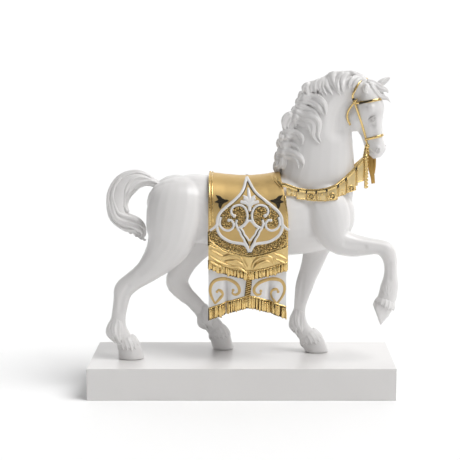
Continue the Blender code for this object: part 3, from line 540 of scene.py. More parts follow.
print("body: ears and crest")
figureClay = Clay()
figureClay.take(bareHorse)
ears(figureClay)
maneBed(figureClay)
figure = onePiece(figureClay, "horseBody", body["skinVoxel"], 1)
bpy.data.objects.remove(bareHorse)
relaxed(figure, 8, lambda points: np.ones(len(points)))


def headPath(rows):
    return [onHead(*row) for row in rows]


strokes = []
for hand in (-1, 1):
    strokes += [(headPath([(49, 14, 13.5 * hand), (55, 12.5, 14 * hand),
                           (62, 10.5, 12.5 * hand)]), 8, 2.7),                      # eye socket
                (headPath([(56, 12, 17 * hand), (72, 10, 13 * hand), (86, 8, 12 * hand)]), 7, 1.3),
                (headPath([(30, 4, 21 * hand), (40, -4, 21 * hand), (52, -14, 19 * hand)]), 8, 0.9),
                (headPath([(102, 10, 12 * hand), (106, 7.5, 12.5 * hand)]), 3.4, 2.8),  # nostril
                (headPath([(101, -5, 12.5 * hand), (107, -1, 12.5 * hand), (112, 3, 9 * hand)]), 2.4, 1.5)]
    side = middle + hand * 45
    strokes += [([(-62, side, 226), (-72, side, 206), (-80, side, 186)], 16, 2.2),      # flank
                ([(90, side, 262), (104, side, 238), (110, side, 206)], 14, 1.6),       # behind the shoulder
                ([(140, side - 6 * hand, 250), (152, side - 10 * hand, 224)], 12, 1.2),  # breast
                ([(-118, side - 4 * hand, 262), (-108, side, 232), (-112, side - 6 * hand, 200)], 13, 1.0)]
strokes += [([(-120, -46, 184), (-138, -38, 160), (-158, -34, 138)], 9, 1.5),
            ([(-176, -36, 118), (-186, -32, 100), (-190, -31, 78)], 6, 1.3),
            ([(170, -16, 412), (158, -19, 398), (149, -20, 380), (150, -21, 360)], 24, 6.5),
            ([(96, 38, 150), (94, 36, 118)], 7, 1.0), ([(98, 14, 128), (93, 15, 84)], 6, 1.0),
            ([(160, -50, 186), (190, -48, 181)], 7, 1.2), ([(228, -48, 158), (229, -47, 130)], 5, 0.8)]
sculpt(figure, strokes)
hairSurface = Surface(figure)
markRecess(figure, 14, 4.0)
slimmed(figure, body["triangles"])
print("body: finished skin", len(figure.data.polygons))


# Hair: every lock is a few strands side by side over a broader bed, joined into one skin.
hair = {"softHeight": 446.0, "topHeight": 454.5, "voxel": 0.72,
        "maneTriangles": 150000, "tailTriangles": 80000, "featherTriangles": 70000}


def strand(clay, points, radii, sides=8):
    # a round strand whose rings follow the line without twisting
    last = len(points) - 1
    over, rings = None, []
    for i in range(last + 1):
        tangent = direction(points[min(i + 1, last)] - points[max(i - 1, 0)])
        over = np.cross(tangent, (0.31, 0.93, 0.19)) if over is None else over
        over = direction(over - np.dot(over, tangent) * tangent)
        across = np.cross(tangent, over)
        rings.append([points[i] + radii[i] * (over * math.cos(a) + across * math.sin(a))
                      for a in around(sides)])
    clay.skin(rings)


def lock(clay, points, width, out, strands=4, wave=0.4, full=1.0, seed=0.0, start=0.78):
    # strands side by side along a line; out points away from what the hair lies on
    last = len(points) - 1
    for s in range(-1, strands):
        bed = s < 0
        aside = 0.0 if bed or strands == 1 else 2 * s / (strands - 1) - 1
        stop = last - int(last * (0.10 if bed else 0.10 * abs(aside) + 0.05 * (s % 2)))
        line, radii = [], []
        for i in range(stop + 1):
            t = i / stop
            taper = 1 - 0.88 * (max(0, t - 0.5) / 0.5) ** 1.7
            share = min(1, start + 1.5 * (1 - start) * 4 * t) * taper * full
            away = direction(out[i])
            tangent = direction(points[min(i + 1, last)] - points[max(i - 1, 0)])
            across = direction(np.cross(tangent, away))
            shift = width * share * 0.74 * aside + wave * math.sin(6 * t + 2.3 * s + seed) * (not bed)
            rise = -0.30 * width * share if bed else 0.26 * width * share * (1 - aside * aside)
            line.append(points[i] + across * shift + away * rise)
            radii.append(max(0.35, width * share * (0.88 if bed else 0.95 / strands + 0.13)))
        strand(clay, np.array(line), radii, 10 if bed else 8)


def overCrest(path, hand):
    # the root of a lock: inside the crest on the other side, then over the top
    gaps = np.hypot(crestOutline[:, 0] - path[0][0], crestOutline[:, 1] - path[0][1])
    i = int(np.argmin(gaps))
    if gaps[i] > 8:
        return []
    y = middle - 6 * i / len(gaps)
    found = []
    for deep, aside in ((11, 8), (5.5, 4), (3.6, 0), (3.6, -4)):
        x, z = crestOutline[i] + crestInward(i) * deep
        found.append(np.array((x, y - hand * aside, z)))
    return found


def laidLock(clay, path, width, hand=-1, rest=0.0, strands=4, skin=None, seed=0.0):
    # a lock through (x, z) points on the flank, rooted over the crest where it starts there
    skin = skin or hairSurface
    root = overCrest(path, hand) if skin is hairSurface else []
    laid = np.array([skin.lay(x, z, hand, 0.2 * width, rest) for x, z in flowing(path, 4)])
    if root:
        laid = laid[2:]
        laid[0, 1] = hand * max(hand * laid[0, 1], hand * root[-1][1] + 2)
    for _ in range(6):
        laid[1:-1, 1] = (laid[:-2, 1] + 2 * laid[1:-1, 1] + laid[2:, 1]) / 4
    points = flowing(root + list(laid[::2]), 3)
    out = np.tile((0.0, float(hand), 0.0), (len(points), 1))
    for i in range(min(13, len(points)) if root else 0):
        out[i] = direction((-0.6 * (1 - i / 13), hand * (0.15 + i / 13), 0.9 * (1 - i / 13)))
    lock(clay, points, width, out, strands, 0.35, 1.0, seed, 0.42 if root else 0.75)


# Locks of the mane on the near side: x, z points from the crest to the tip, half width.
nearMane = [
    ([(108, 430), (99, 427), (96, 421), (97, 415), (101, 411)], 4.6),
    ([(113, 432), (104, 428), (101, 421), (103, 414), (107, 410)], 4.6),
    ([(118, 434), (110, 429), (107, 422), (109, 414)], 4.4),
    ([(123, 437), (115, 430), (113, 423), (115, 417), (119, 412)], 4.2),
    ([(127, 439), (121, 431), (120, 424), (123, 417), (127, 411)], 4.2),
    ([(131, 440), (126, 434), (125, 426), (128, 418), (133, 411)], 4.2),
    ([(135, 444), (131, 435), (132, 426), (137, 418), (142, 411)], 4.6),
    ([(140, 447), (136, 441), (137, 433), (141, 425), (147, 415)], 4.6),
    ([(149, 449.5), (142, 446), (141, 437), (144, 427), (149, 417), (152, 410)], 5.2),
    ([(178, 446), (165, 448), (155, 445), (150, 436), (148, 427), (150, 418), (155, 410)], 5.4),
    ([(182, 443), (169, 446), (161, 442), (156, 434), (155, 426), (157, 418), (161, 411)], 5),
    ([(187, 440), (176, 439), (168, 435), (165, 428), (167, 420)], 4.8),
    ([(191, 437), (181, 436), (174, 431), (171, 423), (172, 414)], 4.4),
    ([(92, 409), (100, 410), (110, 410), (119, 407), (126, 401), (129, 393), (130, 385), (133, 378)], 5.4),
    ([(89, 404), (99, 404), (109, 402), (117, 397), (122, 390), (126, 383), (130, 377)], 5),
    ([(85, 397), (93, 395), (102, 391), (111, 388), (117, 383), (122, 375)], 5),
    ([(82, 391), (88, 386), (97, 382), (107, 381), (115, 377), (119, 370), (119, 361), (118, 352),
      (122, 344), (131, 339)], 5.6),
    ([(80, 384), (87, 378), (96, 375), (104, 374), (110, 369), (111, 361), (110, 353), (114, 345),
      (120, 340), (127, 336)], 5),
    ([(84, 374), (94, 370), (102, 367), (106, 361), (108, 352), (112, 345)], 4.4),
    ([(80, 384), (72, 382), (67, 377), (65, 371), (66, 363), (71, 358), (77, 358)], 4.6),
    ([(79, 383), (76, 376), (73, 369), (72, 363), (76, 359)], 3.6),
    ([(81, 381), (83, 373), (84, 365), (86, 358)], 3.6),
    ([(64, 350), (70, 355), (80, 356), (89, 353), (94, 347), (94, 340), (92, 336)], 4.8),
    ([(66, 345), (73, 350), (81, 350), (87, 346), (89, 340)], 4),
    ([(65, 352), (62, 345), (64, 338), (70, 334)], 4.2),
    ([(62, 337), (68, 336), (77, 337), (86, 333), (90, 326)], 4.4),
    ([(61, 331), (69, 330), (78, 329), (85, 325)], 3.8),
    ([(60, 326), (67, 324), (78, 324), (88, 320), (94, 313), (95, 305), (92, 296)], 5.2),
    ([(61, 319), (70, 319), (80, 317), (86, 311), (88, 304), (86, 298)], 4.2),
    ([(60, 318), (57, 311), (55, 304), (50, 299)], 4.4),
    ([(64, 316), (63, 309), (60, 302), (56, 297)], 4.2),
    ([(69, 314), (69, 307), (66, 300), (63, 296)], 4),
]
forelock = [([(193, 434), (203, 431), (213, 424), (222, 421), (227, 415)], 5),
            ([(199, 428), (206, 418), (213, 411), (224, 408), (231, 400)], 4.5),
            ([(196, 431), (207, 424), (216, 415), (222, 412)], 4)]


def farMane():
    # plainer waves down the far side
    found = []
    for i in range(17):
        t = i / 16
        x, z = crestOutline[int(2 + t * (len(crestOutline) - 6))]
        length = 44 - 14 * t + 6 * math.sin(2.4 * i)
        tilt = 10 - 6 * t
        found.append(([(x + 1, z - 1), (x + 0.25 * tilt, z - 0.3 * length),
                       (x + 1.2 * tilt, z - 0.62 * length), (x + 1.1 * tilt, z - length)], 5.4))
    return found


def buildMane():
    clay = Clay()
    for k, (path, width) in enumerate(nearMane):
        laidLock(clay, path, width, -1, middle - 12, 4 if width > 4.3 else 3, None, k)
    for k, (path, width) in enumerate(farMane()):
        laidLock(clay, path, width, 1, middle - 4, 3, None, k)
    for k, (path, width) in enumerate(forelock):
        laidLock(clay, path, width * 0.92, -1, -14, 3, surface, k)
    # the crest's highest locks are flattened softly below the height of the plain form
    soft, top = hair["softHeight"], hair["topHeight"]
    for i, (x, y, z) in enumerate(clay.points):
        if z > soft:
            eased = 1 - math.exp((soft - z) / (top - soft))
            clay.points[i] = np.array((x, y, soft + (top - soft) * eased))
    obj = onePiece(clay, "mane", hair["voxel"], 2, False)
    markRecess(obj, 5, 1.5)
    return slimmed(obj, hair["maneTriangles"])


def buildTail():
    clay = Clay()
    outer = flowing([(-140, 9.5, 281, 2.5), (-149, 9, 287, 3), (-163.7, 8.5, 291.5, 4), (-180, 8, 288, 5.5),
                     (-193, 7, 278, 7.5), (-202, 6, 260, 9.5), (-202.5, 5, 243, 11), (-197.5, 3, 224, 12.5),
                     (-182, 1, 214, 14.2), (-167, -1.5, 209, 13.6), (-160, -4, 204, 10.5),
                     (-156.5, -6, 197, 6.7), (-157.5, -8, 188.6, 3)], 5)
    inner = flowing([(-133, 10, 273, 6.5), (-145, 10, 277, 8), (-157, 9, 278, 10.5), (-170, 8, 274, 12.5),
                     (-180, 7, 264, 12.5), (-184, 6, 252, 9), (-185, 4, 240, 6), (-181, 2, 229, 5)], 5)
    for path, count, twist, spread in ((outer, 19, 1.6, 0.82), (inner, 11, 0.7, 0.76)):
        total = len(path) - 1
        strand(clay, path[:, :3], [0.78 * r for r in path[:, 3]], 16)
        for k in range(count):
            line, radii = [], []
            for i, (x, y, z, r) in enumerate(path[:total + 1 - (k * 7 % 5)]):
                t = i / total
                ahead = direction(path[min(i + 1, total)][:3] - path[max(i - 1, 0)][:3])
                depth = np.cross(ahead, (0, 1, 0))
                a = wholeTurn * k / count + twist * t + 0.28 * math.sin(8 * t + 2.1 * k)
                line.append(np.array((x, y, z)) + r * spread * (1 + 0.06 * math.sin(9 * t + 1.7 * k))
                            * (depth * math.cos(a) + np.array((0, 0.95 * math.sin(a), 0))))
                radii.append((0.65 + 0.150 * r) * (1.15 if k % 3 else 0.8))
            strand(clay, np.array(line), radii, 8)
    for start, bend in (((-163, -9, 196), (4, -3, -7)), ((-169, -8, 201), (2, -3, -8)),
                        ((-158, -10, 194), (4, -1, -7)), ((-175, -6, 203), (-1, -2, -6))):
        start, bend = np.array(start, float), np.array(bend, float)
        curl = flowing([start, start + 0.5 * bend, start + bend + (1.6, 0, 0),
                        start + bend + (4.0, 0, 1.8)], 4)
        strand(clay, curl, np.linspace(3.0, 0.9, len(curl)), 8)
    obj = onePiece(clay, "tail", hair["voxel"], 1, False)
    markRecess(obj, 5, 1.5)
    return slimmed(obj, hair["tailTriangles"])


# Feathering: centre, the way back, the way down, reach, length, fullness; then the coronets'
# fringes: centre, the way down, reach ahead, reach aside, length.
feathering = {"legs": [((-196, -22, 63), (-1, 0, 0.1), (0.22, 0, -1), 11, 42, 1.0),
                       ((-63, 45, 68), (-0.9, 0, -0.45), (0.5, 0, -0.9), 11, 38, 0.9),
                       ((91, 25, 67), (-1, 0, 0), (0.2, 0, -1), 10, 42, 0.85),
                       ((231, -37, 130), (-1, 0, 0.1), (-0.05, 0, -1), 10, 34, 0.5)],
              "coronets": [((-181, -21, 30), (0.25, 0, -1), 14.5, 13.5, 17),
                           ((-40, 45, 32), (0.3, 0, -1), 14.5, 14, 16),
                           ((107, 25, 28), (0.45, 0, -1), 15.5, 14, 17),
                           ((225, -37, 98), (-0.3, 0, -1), 13.5, 13, 14)]}


def buildFeathers():
    clay = Clay()
    for centre, back, down, reach, length, fullness in feathering["legs"]:
        centre, back, down = np.array(centre, float), direction(back), direction(down)
        for k in range(-5, 6):
            a = k * 0.35
            out = direction(math.cos(a) * back + math.sin(a) * np.array((0, 1, 0)))
            side = np.cross(out, down)
            start = centre + out * reach * 0.7
            long = length * (0.84 if k % 2 else 1.0)
            full = fullness * (0.55 + 0.45 * math.cos(a))
            rows = flowing([start + down * long * t + out * off * full + side * 1.4 * math.sin(5 * t + k)
                            for t, off in ((-0.1, -3), (0.12, 2), (0.35, 9), (0.6, 13), (0.8, 11),
                                           (1.0, 5.5))], 4)
            lock(clay, rows, 5.0, [out] * len(rows), 3, 0.4, 0.7 + 0.3 * full, k)
    for centre, down, ahead, aside, length in feathering["coronets"]:
        centre, down = np.array(centre, float), direction(down)
        front = direction(np.cross(down, (0, 1, 0)))
        for k in range(15):
            a = wholeTurn * k / 15
            out = direction(math.cos(a) * front + math.sin(a) * np.array((0, 1, 0)))
            start = centre + out * (math.hypot(ahead * math.cos(a), aside * math.sin(a)) - 3)
            long = length * (0.92 + 0.2 * math.cos(5.3 * k))
            rows = flowing([start + down * long * t + out * off for t, off in
                            ((-0.3, -1.5), (0.1, 2.0), (0.6, 4.6), (1.0, 5.0))], 4)
            lock(clay, rows, 3.7, [out] * len(rows), 3, 0.5, 1.0, k)
    obj = onePiece(clay, "feathers", hair["voxel"], 1, False)
    markRecess(obj, 4, 1.5)
    return slimmed(obj, hair["featherTriangles"])


print("hair: mane, tail and feathering")
mane = buildMane()
tail = buildTail()
feathers = buildFeathers()
print("hair: faces", len(mane.data.polygons), len(tail.data.polygons), len(feathers.data.polygons))


# The saddle cloth
cloth = {"rear": -52.0, "front": 70.0, "thickness": 3.0, "middle": 12.5,
         "lowOffset": 3.0, "secondOffset": 4.5, "topOffset": 6.0,
         "roundness": 2.25,  # of the back under it: 2 is an ellipse, more is squarer
         "shoulder": 240, "eyeRise": 0.115,  # where it turns over the back; how far the photo looks down
         "flapReach": 62, "reliefVoxel": 0.42, "reliefTriangles": 110000,
         "beadRadii": (0.66, 0.84, 1.02), "beadStep": 2.05, "beadShift": 0.45,
         "swagVoxel": 0.7, "swagHeight": 3.2, "fringeLength": 13, "lowFringeLength": 18.5}


def torsoShape(x, offset):
    # middle height, half height and half width of the back under a layer of the cloth
    rows = np.array(torsoRows)
    top, bottom, width = (float(np.interp(x, rows[:, 0], rows[:, i])) for i in (1, 2, 3))
    return (top + bottom) / 2, (top - bottom) / 2 + offset, width + offset


def clothY(x, z, offset):
    # how far the cloth's face lies from the middle plane at a height
    centre, half, width = torsoShape(x, offset)
    if z <= centre:
        return width
    rise = min((z - centre) / half, 0.9999)
    return width * (1 - rise ** cloth["roundness"]) ** (1 / cloth["roundness"])


def folds(x, z):
    # soft upright folds, deepest at the lowest hem
    low = min(max((146 - z) / 34, 0), 1)
    return low * (-6.0 * math.exp(-((x + 23.5) / 4.2) ** 2) - 5.6 * math.exp(-((x - 43.5) / 4.2) ** 2)
                  + 1.4 * math.exp(-((x + 34) / 8) ** 2) + 1.4 * math.exp(-((x - 54) / 8) ** 2))


def onCloth(x, z, offset, hand=-1, lift=0.0):
    # a spot on the cloth's face and its normal. x and z are read on the flat of the near flap; over
    # the shoulder of the cloth they follow the photo's slightly raised eye
    centre, half, width = torsoShape(x, offset)
    if z > cloth["shoulder"]:
        low = z
        for _ in range(40):
            aim = z - cloth["eyeRise"] * (cloth["flapReach"] - clothY(x, low, offset))
            low += 0.35 * (aim - low)
        z = min(low, centre + half * 0.999)
    y = clothY(x, z, offset) + folds(x, z)
    rise = max(0, (z - centre) / half)
    steep = cloth["roundness"] - 1
    normal = direction((0, hand * (max(y, 1) / width) ** steep / width, rise ** steep / half))
    return np.array((x, middle + hand * y, z)) + normal * lift, normal


def spreadOf(x):
    return abs(x - cloth["middle"]) / 60


def upperHem(x):
    return 166 + 17 * spreadOf(x) ** 1.5


def secondHem(x):
    return 132 + 15 * spreadOf(x) ** 1.5


def lowestHem(x):
    return 87 - 19 * spreadOf(x) ** 1.2


def frontEdge(z):
    return cloth["front"] + 1.5 - 12 * min(max((z - 232) / 60, 0), 1) ** 1.2


def drape(name, hem, offset, rear, frontOf, columns=60, rows=26, drops=26):
    # a layer over the back to a hem on each side, closed round its edge
    clay = Clay()
    layers = []
    for layer in (offset, offset - cloth["thickness"]):
        grid = []
        for i in range(columns + 1):
            share = i / columns
            x0 = rear + (cloth["front"] - rear) * share
            centre, half, width = torsoShape(x0, layer)
            line = []
            for hand in (1, -1):
                side = []
                for k in range(rows + drops):
                    if k < rows:
                        a = math.pi / 2 * k / (rows - 1)
                        y = rounded(math.sin(a), cloth["roundness"]) * width
                        z = centre + half * rounded(math.cos(a), cloth["roundness"])
                        if layer < offset:
                            y, z = y * 0.9, z - 4 * (1 - k / rows)
                    else:
                        y, z = width, centre - (centre - hem(x0)) * (k - rows + 1) / drops
                    x = rear + (frontOf(z) - rear) * share
                    side.append(np.array((x, middle + hand * (y + folds(x, z)), z)))
                line += side[::-1] if hand == 1 else side[1:]
            grid.append(line)
        layers.append(grid)
    outer, inner = layers
    clay.skin([outer[i] + inner[i][::-1] for i in range(columns + 1)])
    return clay.piece(name)


def patch(name, inside, offset, lift, step, low, high, depth=1.2):
    # a thin plate on both flaps, where inside(x, z) holds
    clay = Clay()
    for hand in (-1, 1):
        columns = int((cloth["front"] + 4 - cloth["rear"]) / step)
        levels = int((high - low) / step)
        index = {}

        def corner(i, j):
            if (i, j) not in index:
                index[i, j] = len(clay.points)
                clay.points.append(onCloth(cloth["rear"] + i * step, low + j * step, offset, hand, lift)[0])
            return index[i, j]
        for i in range(columns):
            for j in range(levels):
                if inside(cloth["rear"] + (i + 0.5) * step, low + (j + 0.5) * step):
                    square = (corner(i, j), corner(i + 1, j), corner(i + 1, j + 1), corner(i, j + 1))
                    clay.faces.append(square if hand == -1 else square[::-1])
    mesh = bpy.data.meshes.new(name)
    mesh.from_pydata([tuple(p) for p in place(clay.points)], [], clay.faces)
    obj = bpy.data.objects.new(name, mesh)
    bpy.context.scene.collection.objects.link(obj)
    return applied(obj, "SOLIDIFY", thickness=depth * unit, offset=-1)


def lean(x, z):
    return x - 4.5 * min(max((z - 255) / 36, 0), 1)


# One half of the raised pattern: (out from the cloth's middle, height) points. The other half is
# its mirror image, and the point leans towards the horse's rear.
ogee = [(0, 291), (3.2, 283), (6.8, 274), (12.5, 265), (22, 256), (33, 247), (43, 238), (48.5, 229),
        (50, 219), (49.5, 210), (46, 202), (39.5, 196), (30, 191), (20, 189), (10, 187.5),
        (4.5, 183), (0.5, 175)]
scrolls = [([(49.5, 219), (54, 213), (61, 208)], 2.1),
           ([(23.5, 231), (27.5, 234), (28, 240), (24, 245.5), (15, 247.5), (8, 244), (4.2, 237),
             (3.5, 229), (6, 221), (11, 215.5), (18, 212)], 1.9),
           ([(44.5, 229), (46, 218), (41, 210.5), (33, 208), (26.5, 211.5), (24.5, 218), (28, 224),
             (32.5, 224)], 1.9),
           ([(19.5, 225), (20.8, 219), (18.2, 211), (15, 206.5), (13, 201), (9, 195), (7, 189.5), (3.4, 184),
             (2.0, 177.5)], 1.9),
           ([(0, 224.5), (4.5, 220.5), (8, 216), (13.2, 212), (10, 207.5), (8.2, 202.5), (4, 197.5),
             (0.5, 192)], 1.6),
           ([(0.5, 246), (6, 251), (14, 253)], 2.6), ([(0, 250), (5, 256), (9, 258)], 2.6)]
petals = [[(0, 249), (0, 258), (0, 266), (0, 274)], [(0.3, 248), (2.5, 254), (5.5, 259), (9, 262)],
          [(0.3, 247), (4.5, 250), (9, 251.5), (14.5, 252)], [(0, 238), (0, 244), (0, 250)]]


def mirrored(path, way):
    # (out, z) points of the pattern as x, z on the cloth
    return [(lean(cloth["middle"] + way * out, z), z) for out, z in path]


def mirroredPaths():
    for points, width in [(ogee, 2.4)] + scrolls:
        for way in (-1, 1):
            yield mirrored(points, way), width


def insidePolygon(corners):
    corners = np.array(corners, float)
    x1, z1 = corners[:, 0], corners[:, 1]
    x2, z2 = np.roll(x1, 1), np.roll(z1, 1)

    def test(x, z):
        crossing = ((z1 > z) != (z2 > z)) & (x < (x2 - x1) * (z - z1) / (z2 - z1 + 1e-12) + x1)
        return bool(crossing.sum() % 2)
    return test


inOgee = insidePolygon(mirrored(flowing(ogee, 4), -1) + mirrored(flowing(ogee, 4), 1)[::-1])
reliefLines = np.array([p for points, width in mirroredPaths() for p in flowing(points, 6)])


def fromRelief(x, z):
    return float(np.min(np.hypot(reliefLines[:, 0] - x, reliefLines[:, 1] - z)))


def inGrainCell(x, z):
    # the scroll cells that are beaded, above the smooth ones
    out = abs(x - cloth["middle"])
    low = 212 if out < 22 else 209.5 + 0.1 * out
    if 9 > out and z < 224 and z < 226 - out:
        return False
    return low < z < 248 and inOgee(x, z)


def fringeTop(x):
    out = abs(x - cloth["middle"])
    return 209 - 0.15 * max(0, out - 46)


def inUpperBand(x, z):
    return upperHem(x) - 0.4 < z < fringeTop(x) and not inOgee(x, z) and x < frontEdge(z) - 0.5


def clothLine(path, offset, hand, lift=0.0, steps=5):
    # (point, normal) pairs along x, z points on a flap
    return [onCloth(x, z, offset, hand, lift) for x, z in flowing(path, steps)]


def swelling(found, low, high, first, share, power=1.0):
    # half widths that swell towards the middle of a line
    last = len(found) - 1
    return [low + high * math.sin(math.pi * min(1, first + share * k / last)) ** power
            for k in range(last + 1)]


def buildRelief():
    clay = Clay()
    for hand in (-1, 1):
        for path, width in mirroredPaths():
            laid(clay, clothLine(path, cloth["topOffset"], hand, 0.2), width, 1.5, 10)
        for way in (-1, 1):
            for out, z, radius in ((23.6, 231, 3.0), (32, 224, 2.7)):
                spot, normal = onCloth(cloth["middle"] + way * out, z, cloth["topOffset"], hand)
                ball(clay, spot, (radius, 1.9, radius))
        for petal in petals:
            for way in (-1, 1):
                found = clothLine(mirrored(petal, way), cloth["topOffset"], hand, 0.2)
                laid(clay, found, swelling(found, 1.0, 1.9, 0.12, 0.8), 1.5, 10)
    obj = clay.piece("whiteRelief")
    applied(obj, "REMESH", mode="VOXEL", voxel_size=cloth["reliefVoxel"] * unit)
    applied(obj, "SMOOTH", iterations=3, factor=0.5)
    return applied(obj, "DECIMATE", ratio=min(1, cloth["reliefTriangles"] / (2 * len(obj.data.polygons))))


def beadShape(radius):
    # one bead, modelled once
    deselectAll()
    bpy.ops.mesh.primitive_uv_sphere_add(segments=6, ring_count=4, radius=radius)
    bead = bpy.context.object
    points = np.array([tuple(v.co) for v in bead.data.vertices])
    faces = [tuple(p.vertices) for p in bead.data.polygons]
    bpy.data.objects.remove(bead)
    return points, faces


def buildBeads():
    clay = Clay()
    rng = np.random.default_rng(7)
    shapes = [beadShape(radius) for radius in cloth["beadRadii"]]
    spots = [[], [], []]
    step, shift = cloth["beadStep"], cloth["beadShift"]
    for hand in (-1, 1):
        for j in range(int((260 - 160) / (step * 0.87))):
            z = 160 + j * step * 0.87
            for i in range(int(124 / step)):
                x = cloth["rear"] + 1.2 + (i + 0.5 * (j % 2)) * step
                x2, z2 = x + rng.uniform(-shift, shift), z + rng.uniform(-shift, shift)
                size = int(rng.integers(0, 3))
                if x2 > frontEdge(z2) - 1:
                    continue
                if (inGrainCell(x2, z2) and fromRelief(x2, z2) > 2.0) or (
                        inUpperBand(x2, z2) and z2 > upperHem(x2) + 5 and fromRelief(x2, z2) > 2.4):
                    spots[size].append(onCloth(x2, z2, cloth["topOffset"], hand, rng.uniform(0.0, shift))[0])
    for shape, where in zip(shapes, spots):
        clay.copies(shape, where)
    return clay.piece("goldBeads")


def buildReliefShadeLines():
    # painted shade: dark strips beside the white lines of the pattern, standing for the shade in the grooves
    # there
    clay = Clay()
    for hand in (-1, 1):
        for way in (-1, 1):
            for line, width in (([(16.6, 213), (12.6, 206), (9.8, 200), (5.4, 193.5), (1.2, 185)], 1.1),
                                ([(0.2, 246), (0.2, 236), (0.2, 226)], 0.8),
                                ([(0.4, 284), (3.6, 274.5), (9, 265.5), (17, 257.5), (24, 252)], 0.8),
                                ([(20.5, 247.8), (26.8, 243.5), (30.4, 236.5)], 0.7)):
                laid(clay, clothLine(mirrored(line, way), cloth["topOffset"], hand, 0.3), width, 0.45)
    return clay.piece("darkLines")


def buildTrim():
    # piping, borders and the strap at the withers; the swags are broad soft folds of their own
    clay, swags = Clay(), Clay()
    top, second = cloth["topOffset"], cloth["secondOffset"]
    for hand in (-1, 1):
        def line(path, width, height, offset, lift=0.1):
            laid(clay, clothLine(path, offset, hand, lift), width, height)
        line([(-50, 297), (-49.5, 270), (-48.6, 240), (-48, 214)], 1.5, 1.3, top)
        line([(-46, 297), (-45.4, 270), (-44.4, 240), (-43.6, 220)], 1.3, 1.1, top)
        line([(66.5, 262), (68.5, 244), (70.2, 226), (71, 209)], 1.3, 1.1, top)
        line([(43.5, 301), (45.5, 295), (49, 287), (54, 280), (61, 274)], 0.9, 0.9, top, 0.5)
        line([(50, 299), (52, 294), (55.5, 286.5), (60, 280), (65, 276)], 2.4, 0.9, top, 0.4)
        hems = [(x, upperHem(x)) for x in np.linspace(-50.5, 71, 15)]
        line([(x, z + 0.6) for x, z in hems], 1.5, 1.4, top)
        line([(x, z + 3.9) for x, z in hems], 0.9, 1.0, top)
        line([(-50, 194), (-42, 187), (-34, 180), (-28, 175)], 1.3, 1.2, top)
        line([(71, 196), (66, 188), (60, 181), (54, 176)], 1.1, 1.1, top)
        for swag, wide in (([(-49, 179), (-37, 172), (-26, 166.6)], 2.3),
                           ([(-30, 166), (-20, 169.4), (-9, 168), (0.7, 163), (8.3, 151)], 3.0),
                           ([(-26, 159.6), (-12.5, 161.2), (-1.5, 156.6), (6.1, 148.6)], 2.5),
                           ([(-49, 168), (-34.5, 158.9), (-19.1, 152.8), (-3.7, 149.8), (9.4, 141)], 2.4),
                           ([(-49, 159.5), (-36, 152.8), (-26, 149)], 2.0),
                           ([(15.5, 149), (19.3, 159), (29.2, 166.2), (40.2, 167.6), (47.9, 163.2),
                             (48.6, 156)], 3.0),
                           ([(18.2, 148.6), (24.8, 155.8), (35.8, 160.6), (44.0, 158.4)], 2.5),
                           ([(49, 173), (60, 168), (69.5, 162.5)], 2.4),
                           ([(51, 164.5), (61, 159.6), (69.5, 155.5)], 2.3)):
            found = clothLine(swag, second, hand, -0.2)
            laid(swags, found, swelling(found, 0.45 * wide, 0.6 * wide, 0.1, 0.8), cloth["swagHeight"], 12)
        line([(x, secondHem(x) + cloth["fringeLength"]) for x in np.linspace(-50.5, 71, 15)],
             1.3, 1.6, second, 0.4)
        line([(x, lowestHem(x) + cloth["lowFringeLength"]) for x in np.linspace(-51, 69, 15)],
             1.3, 1.4, cloth["lowOffset"])
    folded = swags.piece("goldSwags")
    applied(folded, "REMESH", mode="VOXEL", voxel_size=cloth["swagVoxel"] * unit)
    applied(folded, "SMOOTH", iterations=4, factor=0.5)
    return clay.piece("goldTrim"), folded


def buildFringes():
    # uneven tufts of thread, the widest ones standing proud, with gaps between where the painted shade of the
    # plate behind shows
    clay = Clay()
    rng = np.random.default_rng(11)
    for hand in (-1, 1):
        for hem, offset, length, front in ((secondHem, cloth["secondOffset"], cloth["fringeLength"], 71.0),
                                           (lowestHem, cloth["lowOffset"], cloth["lowFringeLength"], 69.2)):
            x = cloth["rear"] + 1.8
            while x < front - 1:
                thick = rng.choice((0.8, 1.1, 1.6, 2.2))
                gap = rng.choice((-0.4, 0.1, 0.9), p=(0.5, 0.28, 0.22))
                sway, long = rng.uniform(-1.1, 1.1), rng.uniform(-1.8, 1.8)
                rise = rng.uniform(-0.8, 1.2)
                start = length * rng.choice((1.02, 1.0, 0.98, 0.84))
                line = [(x, hem(x) + start), (x + 0.8 * sway, hem(x) + start * 0.55),
                        (x + sway, hem(x) - long)]
                found = clothLine(line, offset, hand, 0.35 + rise, 3)
                last = len(found) - 1
                swell = [thick * (0.72 + 0.38 * math.sin(2.4 * k / last)) for k in range(last + 1)]
                laid(clay, found, swell, [0.7 + 0.55 * w for w in swell], 7)
                x += 2 * thick * 0.86 + gap
    return clay.piece("goldFringes")


